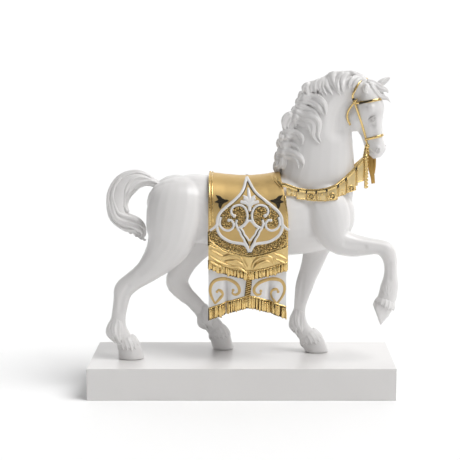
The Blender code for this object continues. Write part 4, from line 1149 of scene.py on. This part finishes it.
def buildVolutes():
    # flat gold scrolls on the lowest layer: x, z of an outer and an inner stroke that share a point
    clay = Clay()
    for hand in (-1, 1):
        for path, width in (
                ([(-41.1, 93), (-45.5, 101.7), (-48.6, 111.7), (-47.2, 121.8), (-41.1, 129.2), (-30.1, 132.3),
                  (-18, 130.8), (-8.1, 124.7), (-3.7, 117.3), (-4.2, 110.6), (-9.2, 107.5), (-14.3, 109.9),
                  (-13.2, 114.4)], 2.5),
                ([(-41.1, 93), (-34.5, 100.5), (-30.1, 107.2), (-31.6, 112.8), (-35.6, 114.6),
                  (-38, 112)], 2.3),
                ([(54.4, 93.5), (60.8, 101.7), (65.6, 111.7), (65.6, 121.8), (60, 129.6), (50, 132.3),
                  (38, 130.8), (27, 126.3), (20.4, 119.6), (19.3, 112.8), (23.7, 107.7), (29.2, 108.6),
                  (29.6, 113.4)], 2.5),
                ([(54.4, 93.5), (48.3, 101.7), (46.3, 109.5), (49.6, 115.5), (54.4, 116.0),
                  (56.4, 112.2)], 2.3)):
            found = clothLine(path, cloth["lowOffset"], hand)
            laid(clay, found, swelling(found, 0.35 * width, 0.75 * width, 0.04, 1.0, 0.6), 0.5, 8, 3.0)
            ball(clay, found[-1][0], (width * 0.95, 0.7, width * 0.95))
    return clay.piece("goldVolutes")


def buildCord():
    # a gathered ribbon down the middle, pressed into slanting turns, wider where it meets the fringe
    clay, cordShadeStrip = Clay(), Clay()
    for hand in (-1, 1):
        spine = flowing([(12, 138), (11, 124), (9.5, 110), (8.6, 100), (8.2, 90)], 6)
        found = [onCloth(x, z, cloth["lowOffset"], hand, 0.5) for x, z in spine]
        # painted shade: a dark strip under the turns, showing between them
        laid(cordShadeStrip, found, [4.6 + 2.2 * max(0, (108 - z) / 18) for x, z in spine], 0.8, 10)
        for k, (x, z) in enumerate(flowing([(12, 137), (11, 124), (9.5, 110), (8.4, 96)], 4)):
            half = 4.3 + 2.4 * max(0, (110 - z) / 18)
            ends = [(x - half, z - 1.6), (x, z + 0.6), (x + half, z + 2.2 - (k % 2))]
            laid(clay, clothLine(ends, cloth["lowOffset"], hand, 1.2, 3),
                 [0.5, 0.9, 1.2, 1.3, 1.2, 0.9, 0.5], 1.6 + 0.5 * (k % 2))
    return clay.piece("goldCord"), cordShadeStrip.piece("cordGround")


def buildLeaves():
    # the dark leaves beside the shoulders of the pattern: one outline, laid on both sides
    clay = Clay()
    leafMiddle = cloth["middle"] - 0.5
    outline = [(31.0, 254.6), (36.5, 255.6), (41, 257.8), (45, 261.5), (51.5, 263), (49.2, 258.5),
               (47.6, 255.6), (53.2, 252.4), (47.6, 250.2), (47.2, 245.5), (44.8, 240.8),
               (42.4, 246.8), (39.5, 250.6), (35.5, 253)]
    for hand in (-1, 1):
        for way in (-1, 1):
            rim = [(leafMiddle + way * out, z) for out, z in outline]
            clay.skin([[onCloth(x, z, cloth["topOffset"], hand, lift)[0] for x, z in rim]
                       for lift in (-0.8, 0.45)])
            for ends in ([(33, 254.6), (41, 256.4), (50, 261.8)], [(33, 254.4), (43, 252.6), (52, 252.4)],
                         [(33, 254), (41, 250), (44.6, 242.6)]):
                vein = [(leafMiddle + way * out, z) for out, z in ends]
                laid(clay, clothLine(vein, cloth["topOffset"], hand, 0.4), 1.0, 0.6)
    return clay.piece("darkLeaves")


print("cloth: layers and pattern")
clothLow = drape("clothLow", lowestHem, cloth["lowOffset"], cloth["rear"] + 0.6,
                 lambda z: min(frontEdge(z), 69.0))
clothSecond = drape("clothSecond", secondHem, cloth["secondOffset"], cloth["rear"] + 0.9, frontEdge)
clothTop = drape("clothTop", upperHem, cloth["topOffset"], cloth["rear"] + 1.2, frontEdge)
relief = buildRelief()
print("cloth: relief", len(relief.data.polygons))
beads = buildBeads()
darkLines = buildReliefShadeLines()
trim, swagFolds = buildTrim()
fringes = buildFringes()
volutes = buildVolutes()
cord, cordGround = buildCord()
# painted shade: a near-black plate under the beads, showing between them
beadShadePlate = patch("darkCells", lambda x, z: inGrainCell(x, z) or inUpperBand(x, z),
                    cloth["topOffset"], 0.22, 1.0, 160, 292)
leaves = buildLeaves()


def fringeShadePlate(name, hem, offset, length, front, low, high):
    # painted shade: the dark plate that shows between a fringe's threads
    return patch(name, lambda x, z: hem(x) - 0.2 < z < hem(x) + length and x < front,
                 offset, 0.15, 1.0, low, high, 1.4)


fringeGround = fringeShadePlate("fringeGround", secondHem, cloth["secondOffset"], cloth["fringeLength"],
                            71.2, 128, 168)
fringeGroundLow = fringeShadePlate("fringeGroundLow", lowestHem, cloth["lowOffset"], cloth["lowFringeLength"],
                               69.2, 66, 106)


# The reins: x, bottom and top of the band, read along the near side; then the plates that hang from
# it, each from x to x with its lower edge's height at both ends
rein = [(62, 262, 280), (70, 260, 278), (86, 254, 272), (100, 252, 269.5), (115, 252, 269.5),
        (130, 252.5, 272), (145, 255, 277.5), (158, 259, 285.5), (170, 262, 296), (180, 272, 306.5),
        (190, 280, 317)]
plates = [(69, 83.8, 260.5, 259), (84.4, 99.4, 255, 253.5), (100, 115.4, 252.5, 252), (116, 130.7, 252, 252),
          (131.3, 147.1, 252.5, 254), (147.8, 161.5, 258.5, 260), (162.2, 177.1, 262, 266),
          (177.8, 190, 277, 280)]


def bitPoint(hand):
    return onHead(94, -9, 12.5 * hand)


def reinLine(hand):
    # x, y, bottom and top of the band on one side
    bit = bitPoint(-hand)
    rows = []
    for x, low, high in rein:
        centre = (low + high) / 2
        laid = max(abs(surface.lay(x, z, hand, 0, middle)[1] - middle) for z in (low, centre, high))
        t = max(0.0, (x - 148) / (190 - 148))
        straight = (1 - t) * 37 + t * abs(bit[1] - middle)
        out = max(laid, straight) if x < 172 else straight
        if x < 75:
            out = max(out, clothY(x, centre, cloth["secondOffset"]))
        shift = max(0, (x - 140) / 50) if hand == 1 else 0
        rows.append((x + 8 * shift, middle + hand * (out + 0.8), low + 4 * shift, high + 4 * shift))
    return np.array(rows)


def buildReins():
    rails, slabs, dark = Clay(), Clay(), Clay()
    for hand in (-1, 1):
        rows = reinLine(hand)
        plain = np.array([r[0] for r in rein])

        def spot(x, z, lift):
            # x as on the near side; z is measured from the near side's band
            here = [np.interp(x, plain, rows[:, i]) for i in range(4)]
            ahead = [np.interp(x + 2, plain, rows[:, i]) for i in range(2)]
            behind = [np.interp(x - 2, plain, rows[:, i]) for i in range(2)]
            low = np.interp(x, plain, [r[1] for r in rein])
            tangent = direction((ahead[0] - behind[0], ahead[1] - behind[1], 0))
            normal = np.cross(tangent, (0, 0, 1)) * (1 if hand == -1 else -1)
            return np.array((here[0], here[1], z + here[2] - low)) + normal * lift, normal

        def top(x):
            return float(np.interp(x, plain, [r[2] for r in rein]))

        for rise, width, height, sides, power in ((-2.6, 2.9, 1.9, 12, 3.2), (0.2, 0.8, 2.3, 8, 2.0)):
            laid(rails, [spot(x, top(x) + rise, 0.2) for x in np.linspace(62.5, 190, 46)],
                 width, height, sides, power)
        for x0, x1, low0, low1 in plates:
            rings = []
            for k in range(7):
                x, low = x0 + (x1 - x0) * k / 6, low0 + (low1 - low0) * k / 6
                rings.append([spot(x, z, side)[0] for z, side in
                              ((low, -1), (low, 1.25), (low + 0.9, 1.6), (top(x) - 4.4, 1.6),
                               (top(x) - 3.6, 1.2), (top(x) - 3.6, -1))])
            slabs.skin(rings)
            frameLine = [(x0 + 1, top(x0) - 5), (x0 + 1, low0 + 1.2),
                         (x1 - 1, low1 + 1.2), (x1 - 1, top(x1) - 5)]
            for a, b in zip(frameLine[:-1], frameLine[1:]):
                laid(rails, [spot(a[0] + (b[0] - a[0]) * t, a[1] + (b[1] - a[1]) * t, 1.6)
                             for t in np.linspace(-0.02, 1.02, 7)], 0.75, 0.7)
        for x, z in ((107.5, 259.5), (139, 260), (169.5, 269.5)):
            centre, normal = spot(x, z, 1.7)
            tangent = direction(np.cross(normal, (0, 0, 1)))
            ball(rails, centre, (1.7, 1.7, 1.7), sides=14)
            for clay, radius, count, thick, sides in ((rails, 4.5, 25, (1.0, 1.0), 8),
                                                      (dark, 2.9, 21, (0.45, 0.4), 6)):
                loop = [centre + radius * (tangent * math.cos(a) + np.array((0, 0, math.sin(a))))
                        for a in np.linspace(0, wholeTurn, count)]
                laid(clay, [(point, normal) for point in loop], *thick, sides)
        # painted shade: dark blocks in the notches between the plates
        for x in (87, 100, 115, 130.5, 147, 160.5, 177):
            rings = []
            for dx in (-1.4, 1.4):
                rings.append([spot(x + dx, top(x + dx) + dz, side)[0]
                              for dz, side in ((-5.6, -1.0), (-5.6, 2.35), (-1.0, 2.35), (-1.0, -1.0))])
            dark.skin(rings)
        for x, z in ((78, 268), (77, 263), (124, 263), (121, 257), (154, 268), (154, 263)):
            ball(rails, spot(x, z, 1.7)[0], (1.5, 1.0, 1.5), sides=10)
        bit = bitPoint(-hand)
        last = np.array(spot(190, top(190) - 2, 0.2)[0])
        link = [(*(last + (bit - last) * t), 2.6, 2.0) for t in (-0.15, 0.4, 1.1)]
        limb(rails, link, 4, 12, (0, 1, 0), 2.6)
    found = [rails.piece("reinRails"), slabs.piece("reinPlates"), dark.piece("reinNotches")]
    applied(found[1], "BEVEL", width=0.35 * unit, segments=2, limit_method="ANGLE",
            angle_limit=math.radians(40))
    return found


print("harness: reins and bridle")
reinRails, reinPlates, reinNotches = buildReins()

bridle = {"strapWidth": 1.7, "strapHeight": 1.2}


def strap(clay, spots, width=None, height=None):
    points, normals = (flowing([s[i] for s in spots], 4) for i in (0, 1))
    ribbon(clay, points, normals, width or bridle["strapWidth"], height or bridle["strapHeight"], 12, 2.8)


def buildBridle():
    gold, dark = Clay(), Clay()
    for hand in (-1, 1):
        def at(down, degrees, lift=0.5):
            return surface.roundHead(down, math.radians(degrees) * hand, lift)
        strap(gold, [at(-7, 30), at(-6, 55), at(2, 78), at(12, 94), at(22, 98)])
        strap(gold, [at(22, 98), at(40, 96), at(60, 100), at(82, 112), at(92, 113)])
        if hand == 1:
            lash = [(177.7, 407.7), (170.8, 399), (165.7, 391), (163.3, 383.4), (164, 375.7), (168, 367)]
            strap(gold, [(surface.lay(x, z, -1, 0.9, 0), np.array((-0.2, -1, 0))) for x, z in lash], 1.5)
        else:
            strap(gold, [at(24, 98), at(34, 118), at(46, 130), at(56, 138), at(64, 148)], 1.4)
        for down, degrees, size in ((22, 98, 3.1), (83, 112, 2.6), (94, 114, 4.0)):
            ball(gold, at(down, degrees, 0.8)[0], (size, size, size))
        ball(dark, at(17, 96, 0.8)[0], (2.6, 2.2, 2.2), headAxes, sides=12)
        for down in (96, 100, 104):
            ball(gold, at(down, 116, 1.0)[0], (2.2, 2.4, 2.0), headAxes, sides=12)
    for low, high, drop in ((24, 28, 98), (83, 83, 112)):
        strap(gold, [surface.roundHead(high + (low - high) * abs(a) / drop, math.radians(a), 0.5)
                     for a in np.linspace(-drop, drop, 17)], 2.0)
    for start, end in ((34, 80), (-80, -34)):
        strap(dark, [surface.roundHead(26, math.radians(a), 1.0) for a in np.linspace(start, end, 7)],
              1.5, 1.1)
    return gold.piece("bridle"), dark.piece("bridleInlay")


def buildTassels():
    gold, old = Clay(), Clay()
    near = bitPoint(1)
    limb(gold, [(193, near[1] - 2.5, 322, 2.4, 2), (193, near[1] - 3, 300, 2.3, 1.8),
                (193, near[1] - 3, 272, 2.3, 1.8), (193, near[1] - 3, 268.5, 1.6, 1.4)], 4, 10, (0, 1, 0), 3)
    for z in np.arange(271, 318, 5.2):
        ball(gold, (195.4, near[1] - 3.4, z), (1.7, 1.6, 2.0), sides=10)
        ball(gold, (191.8, near[1] - 4.4, z + 2.6), (1.1, 1.2, 1.3), sides=8)
    for rows in ([(200, near[1] + 3, 322, 4.6, 2.6), (201, near[1] + 1, 304, 4.8, 2.6),
                  (204, near[1], 286, 3.4, 2.2), (205, near[1], 276, 3.0, 2.0)],
                 [(207, near[1] + 5, 320, 2.6, 2.4), (207, near[1] + 4, 306, 2.6, 2.0),
                  (206, near[1] + 4, 291, 2.0, 1.8)]):
        limb(old, rows, 5, 24, (0, 1, 0), 2.2, None, 7)
    return gold.piece("tasselStrip"), old.piece("tasselEnds")


bridleStraps, bridleInlay = buildBridle()
tasselStrip, tasselEnds = buildTassels()


def buildFace():
    # eyeballs, lids and nostril rims
    clay = Clay()
    for hand in (-1, 1):
        spot, normal = surface.roundHead(54.5, math.radians(43) * hand, -2.4)
        side = direction(np.cross(headDown, normal))
        ball(clay, spot, (4.3, 4.3, 4.6), (headDown, side, normal), sides=20)
        for lift, sweep, width in ((1.0, 1.35, 1.1), (-1.0, 1.2, 0.8)):
            lid = []
            for t in np.linspace(-sweep, sweep, 13):
                across = 5.0 * math.sin(t)
                rise = lift * 3.1 * math.cos(t) - 0.25 * across
                out = 3.9 - 0.055 * across * across
                lid.append((spot + side * across - headDown * rise + normal * out, normal))
            laid(clay, lid, width, width)
        nose = headPath([(101.5, 12.0, 10.8 * hand), (100, 9.5, 12.4 * hand), (101.5, 6.8, 13.1 * hand),
                         (105, 5.4, 12.9 * hand), (107.5, 7.2, 11.8 * hand)])
        laid(clay, [(point, headRight * hand) for point in flowing(nose, 4)], 0.8, 0.8)
    return clay.piece("face")


face = buildFace()


def nodesOf(material):
    material.use_nodes = True
    return material.node_tree.nodes, material.node_tree.links


def newGroup(name, inputs, output):
    # a shader node group with its sockets, as its nodes, links and ends
    group = bpy.data.node_groups.new(name, "ShaderNodeTree")
    for socket in inputs:
        group.interface.new_socket(socket, in_out="INPUT", socket_type="NodeSocketFloat")
    group.interface.new_socket(output, in_out="OUTPUT", socket_type="NodeSocketFloat")
    start, end = group.nodes.new("NodeGroupInput"), group.nodes.new("NodeGroupOutput")
    return group, start, end


def makeCloudGroup():
    # slow and fine variation over a surface, from Low to High
    group, start, end = newGroup("unevenGlaze", ("Scale", "Low", "High"), "Value")
    nodes, links = group.nodes, group.links
    spot = nodes.new("ShaderNodeTexCoord")
    noise = nodes.new("ShaderNodeTexNoise")
    noise.inputs["Detail"].default_value = 4.0
    spread = nodes.new("ShaderNodeMapRange")
    spread.inputs["From Min"].default_value, spread.inputs["From Max"].default_value = 0.3, 0.7
    for source, target in ((spot.outputs["Object"], noise.inputs["Vector"]),
                           (start.outputs["Scale"], noise.inputs["Scale"]),
                           (noise.outputs["Fac"], spread.inputs["Value"]),
                           (start.outputs["Low"], spread.inputs["To Min"]),
                           (start.outputs["High"], spread.inputs["To Max"]),
                           (spread.outputs["Result"], end.inputs["Value"])):
        links.new(source, target)
    return group


def makeHollowShadeGroup():
    # a mask of hollows, read from the piece's own attribute, for painting shade into the hollows
    group, start, end = newGroup("hollows", ("From", "To"), "Mask")
    nodes, links = group.nodes, group.links
    layer = nodes.new("ShaderNodeAttribute")
    layer.attribute_name = "recess"
    spread = nodes.new("ShaderNodeMapRange")
    for source, target in ((layer.outputs["Fac"], spread.inputs["Value"]),
                           (start.outputs["From"], spread.inputs["From Min"]),
                           (start.outputs["To"], spread.inputs["From Max"]),
                           (spread.outputs["Result"], end.inputs["Mask"])):
        links.new(source, target)
    return group


cloudGroup, hollowShadeGroup = makeCloudGroup(), makeHollowShadeGroup()


def grouped(nodes, tree, **values):
    node = nodes.new("ShaderNodeGroup")
    node.node_tree = tree
    for name, value in values.items():
        node.inputs[name].default_value = value
    return node


def finish(name, light, deep, roughness, metallic=0.0, coat=0.0, hollow=(0.52, 0.75), cloud=45,
           bump=0.0, bumpScale=900, uneven=0.16):
    # a colour with painted shade in the hollows and a slow random variation of tone, with the sheen varying a
    # little too; deep is the colour of both the painted shade and the darker tone
    material = bpy.data.materials.new(name)
    nodes, links = nodesOf(material)
    shader = nodes["Principled BSDF"]
    shader.inputs["Metallic"].default_value = metallic
    shader.inputs["Coat Weight"].default_value = coat
    shader.inputs["Coat Roughness"].default_value = 0.08
    hollows = grouped(nodes, hollowShadeGroup, From=hollow[0], To=hollow[1])
    tone = grouped(nodes, cloudGroup, Scale=cloud, Low=0.0, High=uneven)
    total = nodes.new("ShaderNodeMath")
    total.operation, total.use_clamp = "ADD", True
    mix = nodes.new("ShaderNodeMix")
    mix.data_type = "RGBA"
    mix.inputs["A"].default_value, mix.inputs["B"].default_value = (*light, 1), (*deep, 1)
    links.new(hollows.outputs["Mask"], total.inputs[0])
    links.new(tone.outputs["Value"], total.inputs[1])
    links.new(total.outputs["Value"], mix.inputs["Factor"])
    links.new(mix.outputs["Result"], shader.inputs["Base Color"])
    sheen = grouped(nodes, cloudGroup, Scale=cloud * 2.3, Low=roughness[0], High=roughness[1])
    links.new(sheen.outputs["Value"], shader.inputs["Roughness"])
    if bump:
        spot = nodes.new("ShaderNodeTexCoord")
        noise = nodes.new("ShaderNodeTexNoise")
        noise.inputs["Scale"].default_value = bumpScale
        raised = nodes.new("ShaderNodeBump")
        raised.inputs["Strength"].default_value = bump
        raised.inputs["Distance"].default_value = 0.0004
        links.new(spot.outputs["Object"], noise.inputs["Vector"])
        links.new(noise.outputs["Fac"], raised.inputs["Height"])
        links.new(raised.outputs["Normal"], shader.inputs["Normal"])
    return material


# on pieces that carry the recess attribute, these finishes paint shade into the hollows with their deep
# colour
glaze = finish("whiteGlaze", (0.765, 0.75, 0.742), (0.62, 0.595, 0.58), (0.33, 0.36), coat=0.15, cloud=9,
               hollow=(0.55, 0.95), uneven=0.05)
# painted shade: a darker glaze for the eyes, lids and nostril rims, standing for the shade of the sockets
shadedGlaze = finish("shadedGlaze", (0.62, 0.60, 0.59), (0.45, 0.43, 0.42), (0.28, 0.31), coat=0.2, cloud=9)
goldSatin = finish("satinGold", (0.68, 0.48, 0.205), (0.50, 0.32, 0.11), (0.42, 0.54), 0.9, cloud=50,
                   bump=0.06)
goldBright = finish("brightGold", (0.84, 0.62, 0.27), (0.18, 0.10, 0.025), (0.20, 0.32), 0.97, cloud=160)
goldSoft = finish("softGold", (0.82, 0.61, 0.28), (0.20, 0.12, 0.03), (0.26, 0.38), 0.95, cloud=90)
goldPale = finish("paleGold", (0.88, 0.69, 0.36), (0.45, 0.28, 0.09), (0.34, 0.46), 0.88, cloud=180,
                  bump=0.45, bumpScale=1500)
# painted shade: a near-black gold for the plates and strips that stand for the shade between beads, threads,
# turns and raised lines
shadeGold = finish("paintedShadeGold", (0.075, 0.045, 0.014), (0.04, 0.022, 0.006), (0.35, 0.55), 0.6, cloud=220)
goldBrown = finish("brownGold", (0.56, 0.34, 0.10), (0.28, 0.15, 0.035), (0.28, 0.42), 0.8, cloud=220)
# a dark pattern for the leaves, the bridle and the rosettes, and painted shade in the notches between the
# rein plates
darkPatternAndShade = finish("darkPatternAndShadeGlaze", (0.04, 0.032, 0.02), (0.015, 0.012, 0.008), (0.25, 0.4), 0.3, cloud=300)
lacquer = finish("whiteLacquer", (0.765, 0.75, 0.74), (0.72, 0.705, 0.695), (0.30, 0.38), coat=0.1, cloud=9,
                 bump=0.02, bumpScale=300)


def done(obj, material, rounds=6, reach=1.2, angle=None):
    obj.data.materials.clear()
    obj.data.materials.append(material)
    pick(obj)
    if angle:
        bpy.ops.object.shade_smooth_by_angle(angle=math.radians(angle))
    else:
        bpy.ops.object.shade_smooth()
    # marks the hollows that the finish paints shade into
    markRecess(obj, rounds, reach)
    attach(obj, "root")


print("finishes")
for piece in (figure, mane, tail, feathers):
    done(piece, glaze)
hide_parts("horse")
# the face is finished in the darker glaze as painted shade
done(face, shadedGlaze)
done(clothLow, glaze, angle=40, rounds=3, reach=3)
done(clothSecond, goldSoft, angle=40, rounds=3, reach=3)
done(clothTop, goldSatin, angle=40, rounds=3, reach=3)
done(relief, glaze, rounds=3, reach=1.2)
for piece in (beads, trim, fringes, cord, reinRails, bridleStraps, tasselStrip):
    done(piece, goldBright, rounds=2, reach=1.0)
done(volutes, goldSatin)
done(swagFolds, goldSoft, rounds=5, reach=1.6)
done(reinPlates, goldPale, angle=35)
# painted shade behind beads, fringes and cord, and beside the white relief
for piece in (beadShadePlate, darkLines, fringeGround, fringeGroundLow, cordGround):
    done(piece, shadeGold, angle=35)
for piece in (leaves, reinNotches, bridleInlay):
    done(piece, darkPatternAndShade, angle=35)
done(tasselEnds, goldBrown)

plinth = frame["nodes"]["plinth"]
plinth.data.materials.clear()
plinth.data.materials.append(lacquer)

# Floor, light and camera
deselectAll()
bpy.ops.mesh.primitive_plane_add(size=30, location=(0, 6, 0))
floor = bpy.context.object
floor.name = "floor"
floorPaint = bpy.data.materials.new("floorPaint")
nodes, links = nodesOf(floorPaint)
nodes["Principled BSDF"].inputs["Base Color"].default_value = (0.98, 0.98, 0.98, 1)
nodes["Principled BSDF"].inputs["Roughness"].default_value = 0.9
nodes["Principled BSDF"].inputs["Specular IOR Level"].default_value = 0.1
floor.data.materials.append(floorPaint)

# soft light from above on the right, and a weaker broad lamp; width is degrees for the sun, else metres
lights = {"sun": {"type": "SUN", "spot": (1.04, -0.47, 1.62), "aim": (0, 0, 0), "energy": 2.5, "width": 40},
          "key": {"type": "AREA", "spot": (1.2, -1.2, 1.2), "aim": (0, 0, 0.25), "energy": 1.7, "width": 1.5}}
for name, given in lights.items():
    lamp = bpy.data.lights.new(name, given["type"])
    lamp.energy = given["energy"]
    if given["type"] == "SUN":
        lamp.angle = math.radians(given["width"])
    else:
        lamp.shape, lamp.size = "DISK", given["width"]
    holder = bpy.data.objects.new(name, lamp)
    bpy.context.scene.collection.objects.link(holder)
    holder.location = given["spot"]
    aim = Vector(given["aim"]) - Vector(given["spot"])
    holder.rotation_euler = aim.to_track_quat("-Z", "Y").to_euler()

# a studio whose light comes from behind the figure and fades towards the camera
world = bpy.data.worlds.new("studio")
world.use_nodes = True
nodes, links = world.node_tree.nodes, world.node_tree.links
nodes["Background"].inputs["Color"].default_value = (1, 1, 1, 1)
where = nodes.new("ShaderNodeTexCoord")
split = nodes.new("ShaderNodeSeparateXYZ")
fade = nodes.new("ShaderNodeMapRange")
fade.inputs["From Min"].default_value, fade.inputs["From Max"].default_value = 0.1, 0.8
fade.inputs["To Min"].default_value, fade.inputs["To Max"].default_value = 0.16, 1.2
links.new(where.outputs["Generated"], split.inputs["Vector"])
links.new(split.outputs["Y"], fade.inputs["Value"])
links.new(fade.outputs["Result"], nodes["Background"].inputs["Strength"])
bpy.context.scene.world = world
bpy.context.scene.view_settings.view_transform = "Standard"

# worked out from the plinth's corners in the photograph
photoView = {"lens": 102.6, "shift": -0.0543, "spot": (0.0206, -2.0412, 0.5495), "lookDown": 8.307}
eye = bpy.data.cameras.new("photoCamera")
eye.sensor_width, eye.lens, eye.shift_x = 36, photoView["lens"], photoView["shift"]
camera = bpy.data.objects.new("photoCamera", eye)
bpy.context.scene.collection.objects.link(camera)
camera.location = photoView["spot"]
camera.rotation_euler = (math.radians(90 - photoView["lookDown"]), 0, 0)
bpy.context.scene.camera = camera

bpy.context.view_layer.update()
total = 0
for obj in bpy.data.objects:
    if obj.type == "MESH" and obj.name != "floor":
        count = sum(len(p.vertices) - 2 for p in obj.data.polygons)
        total += count
        print("piece", obj.name, count)
print("triangles in all", total)
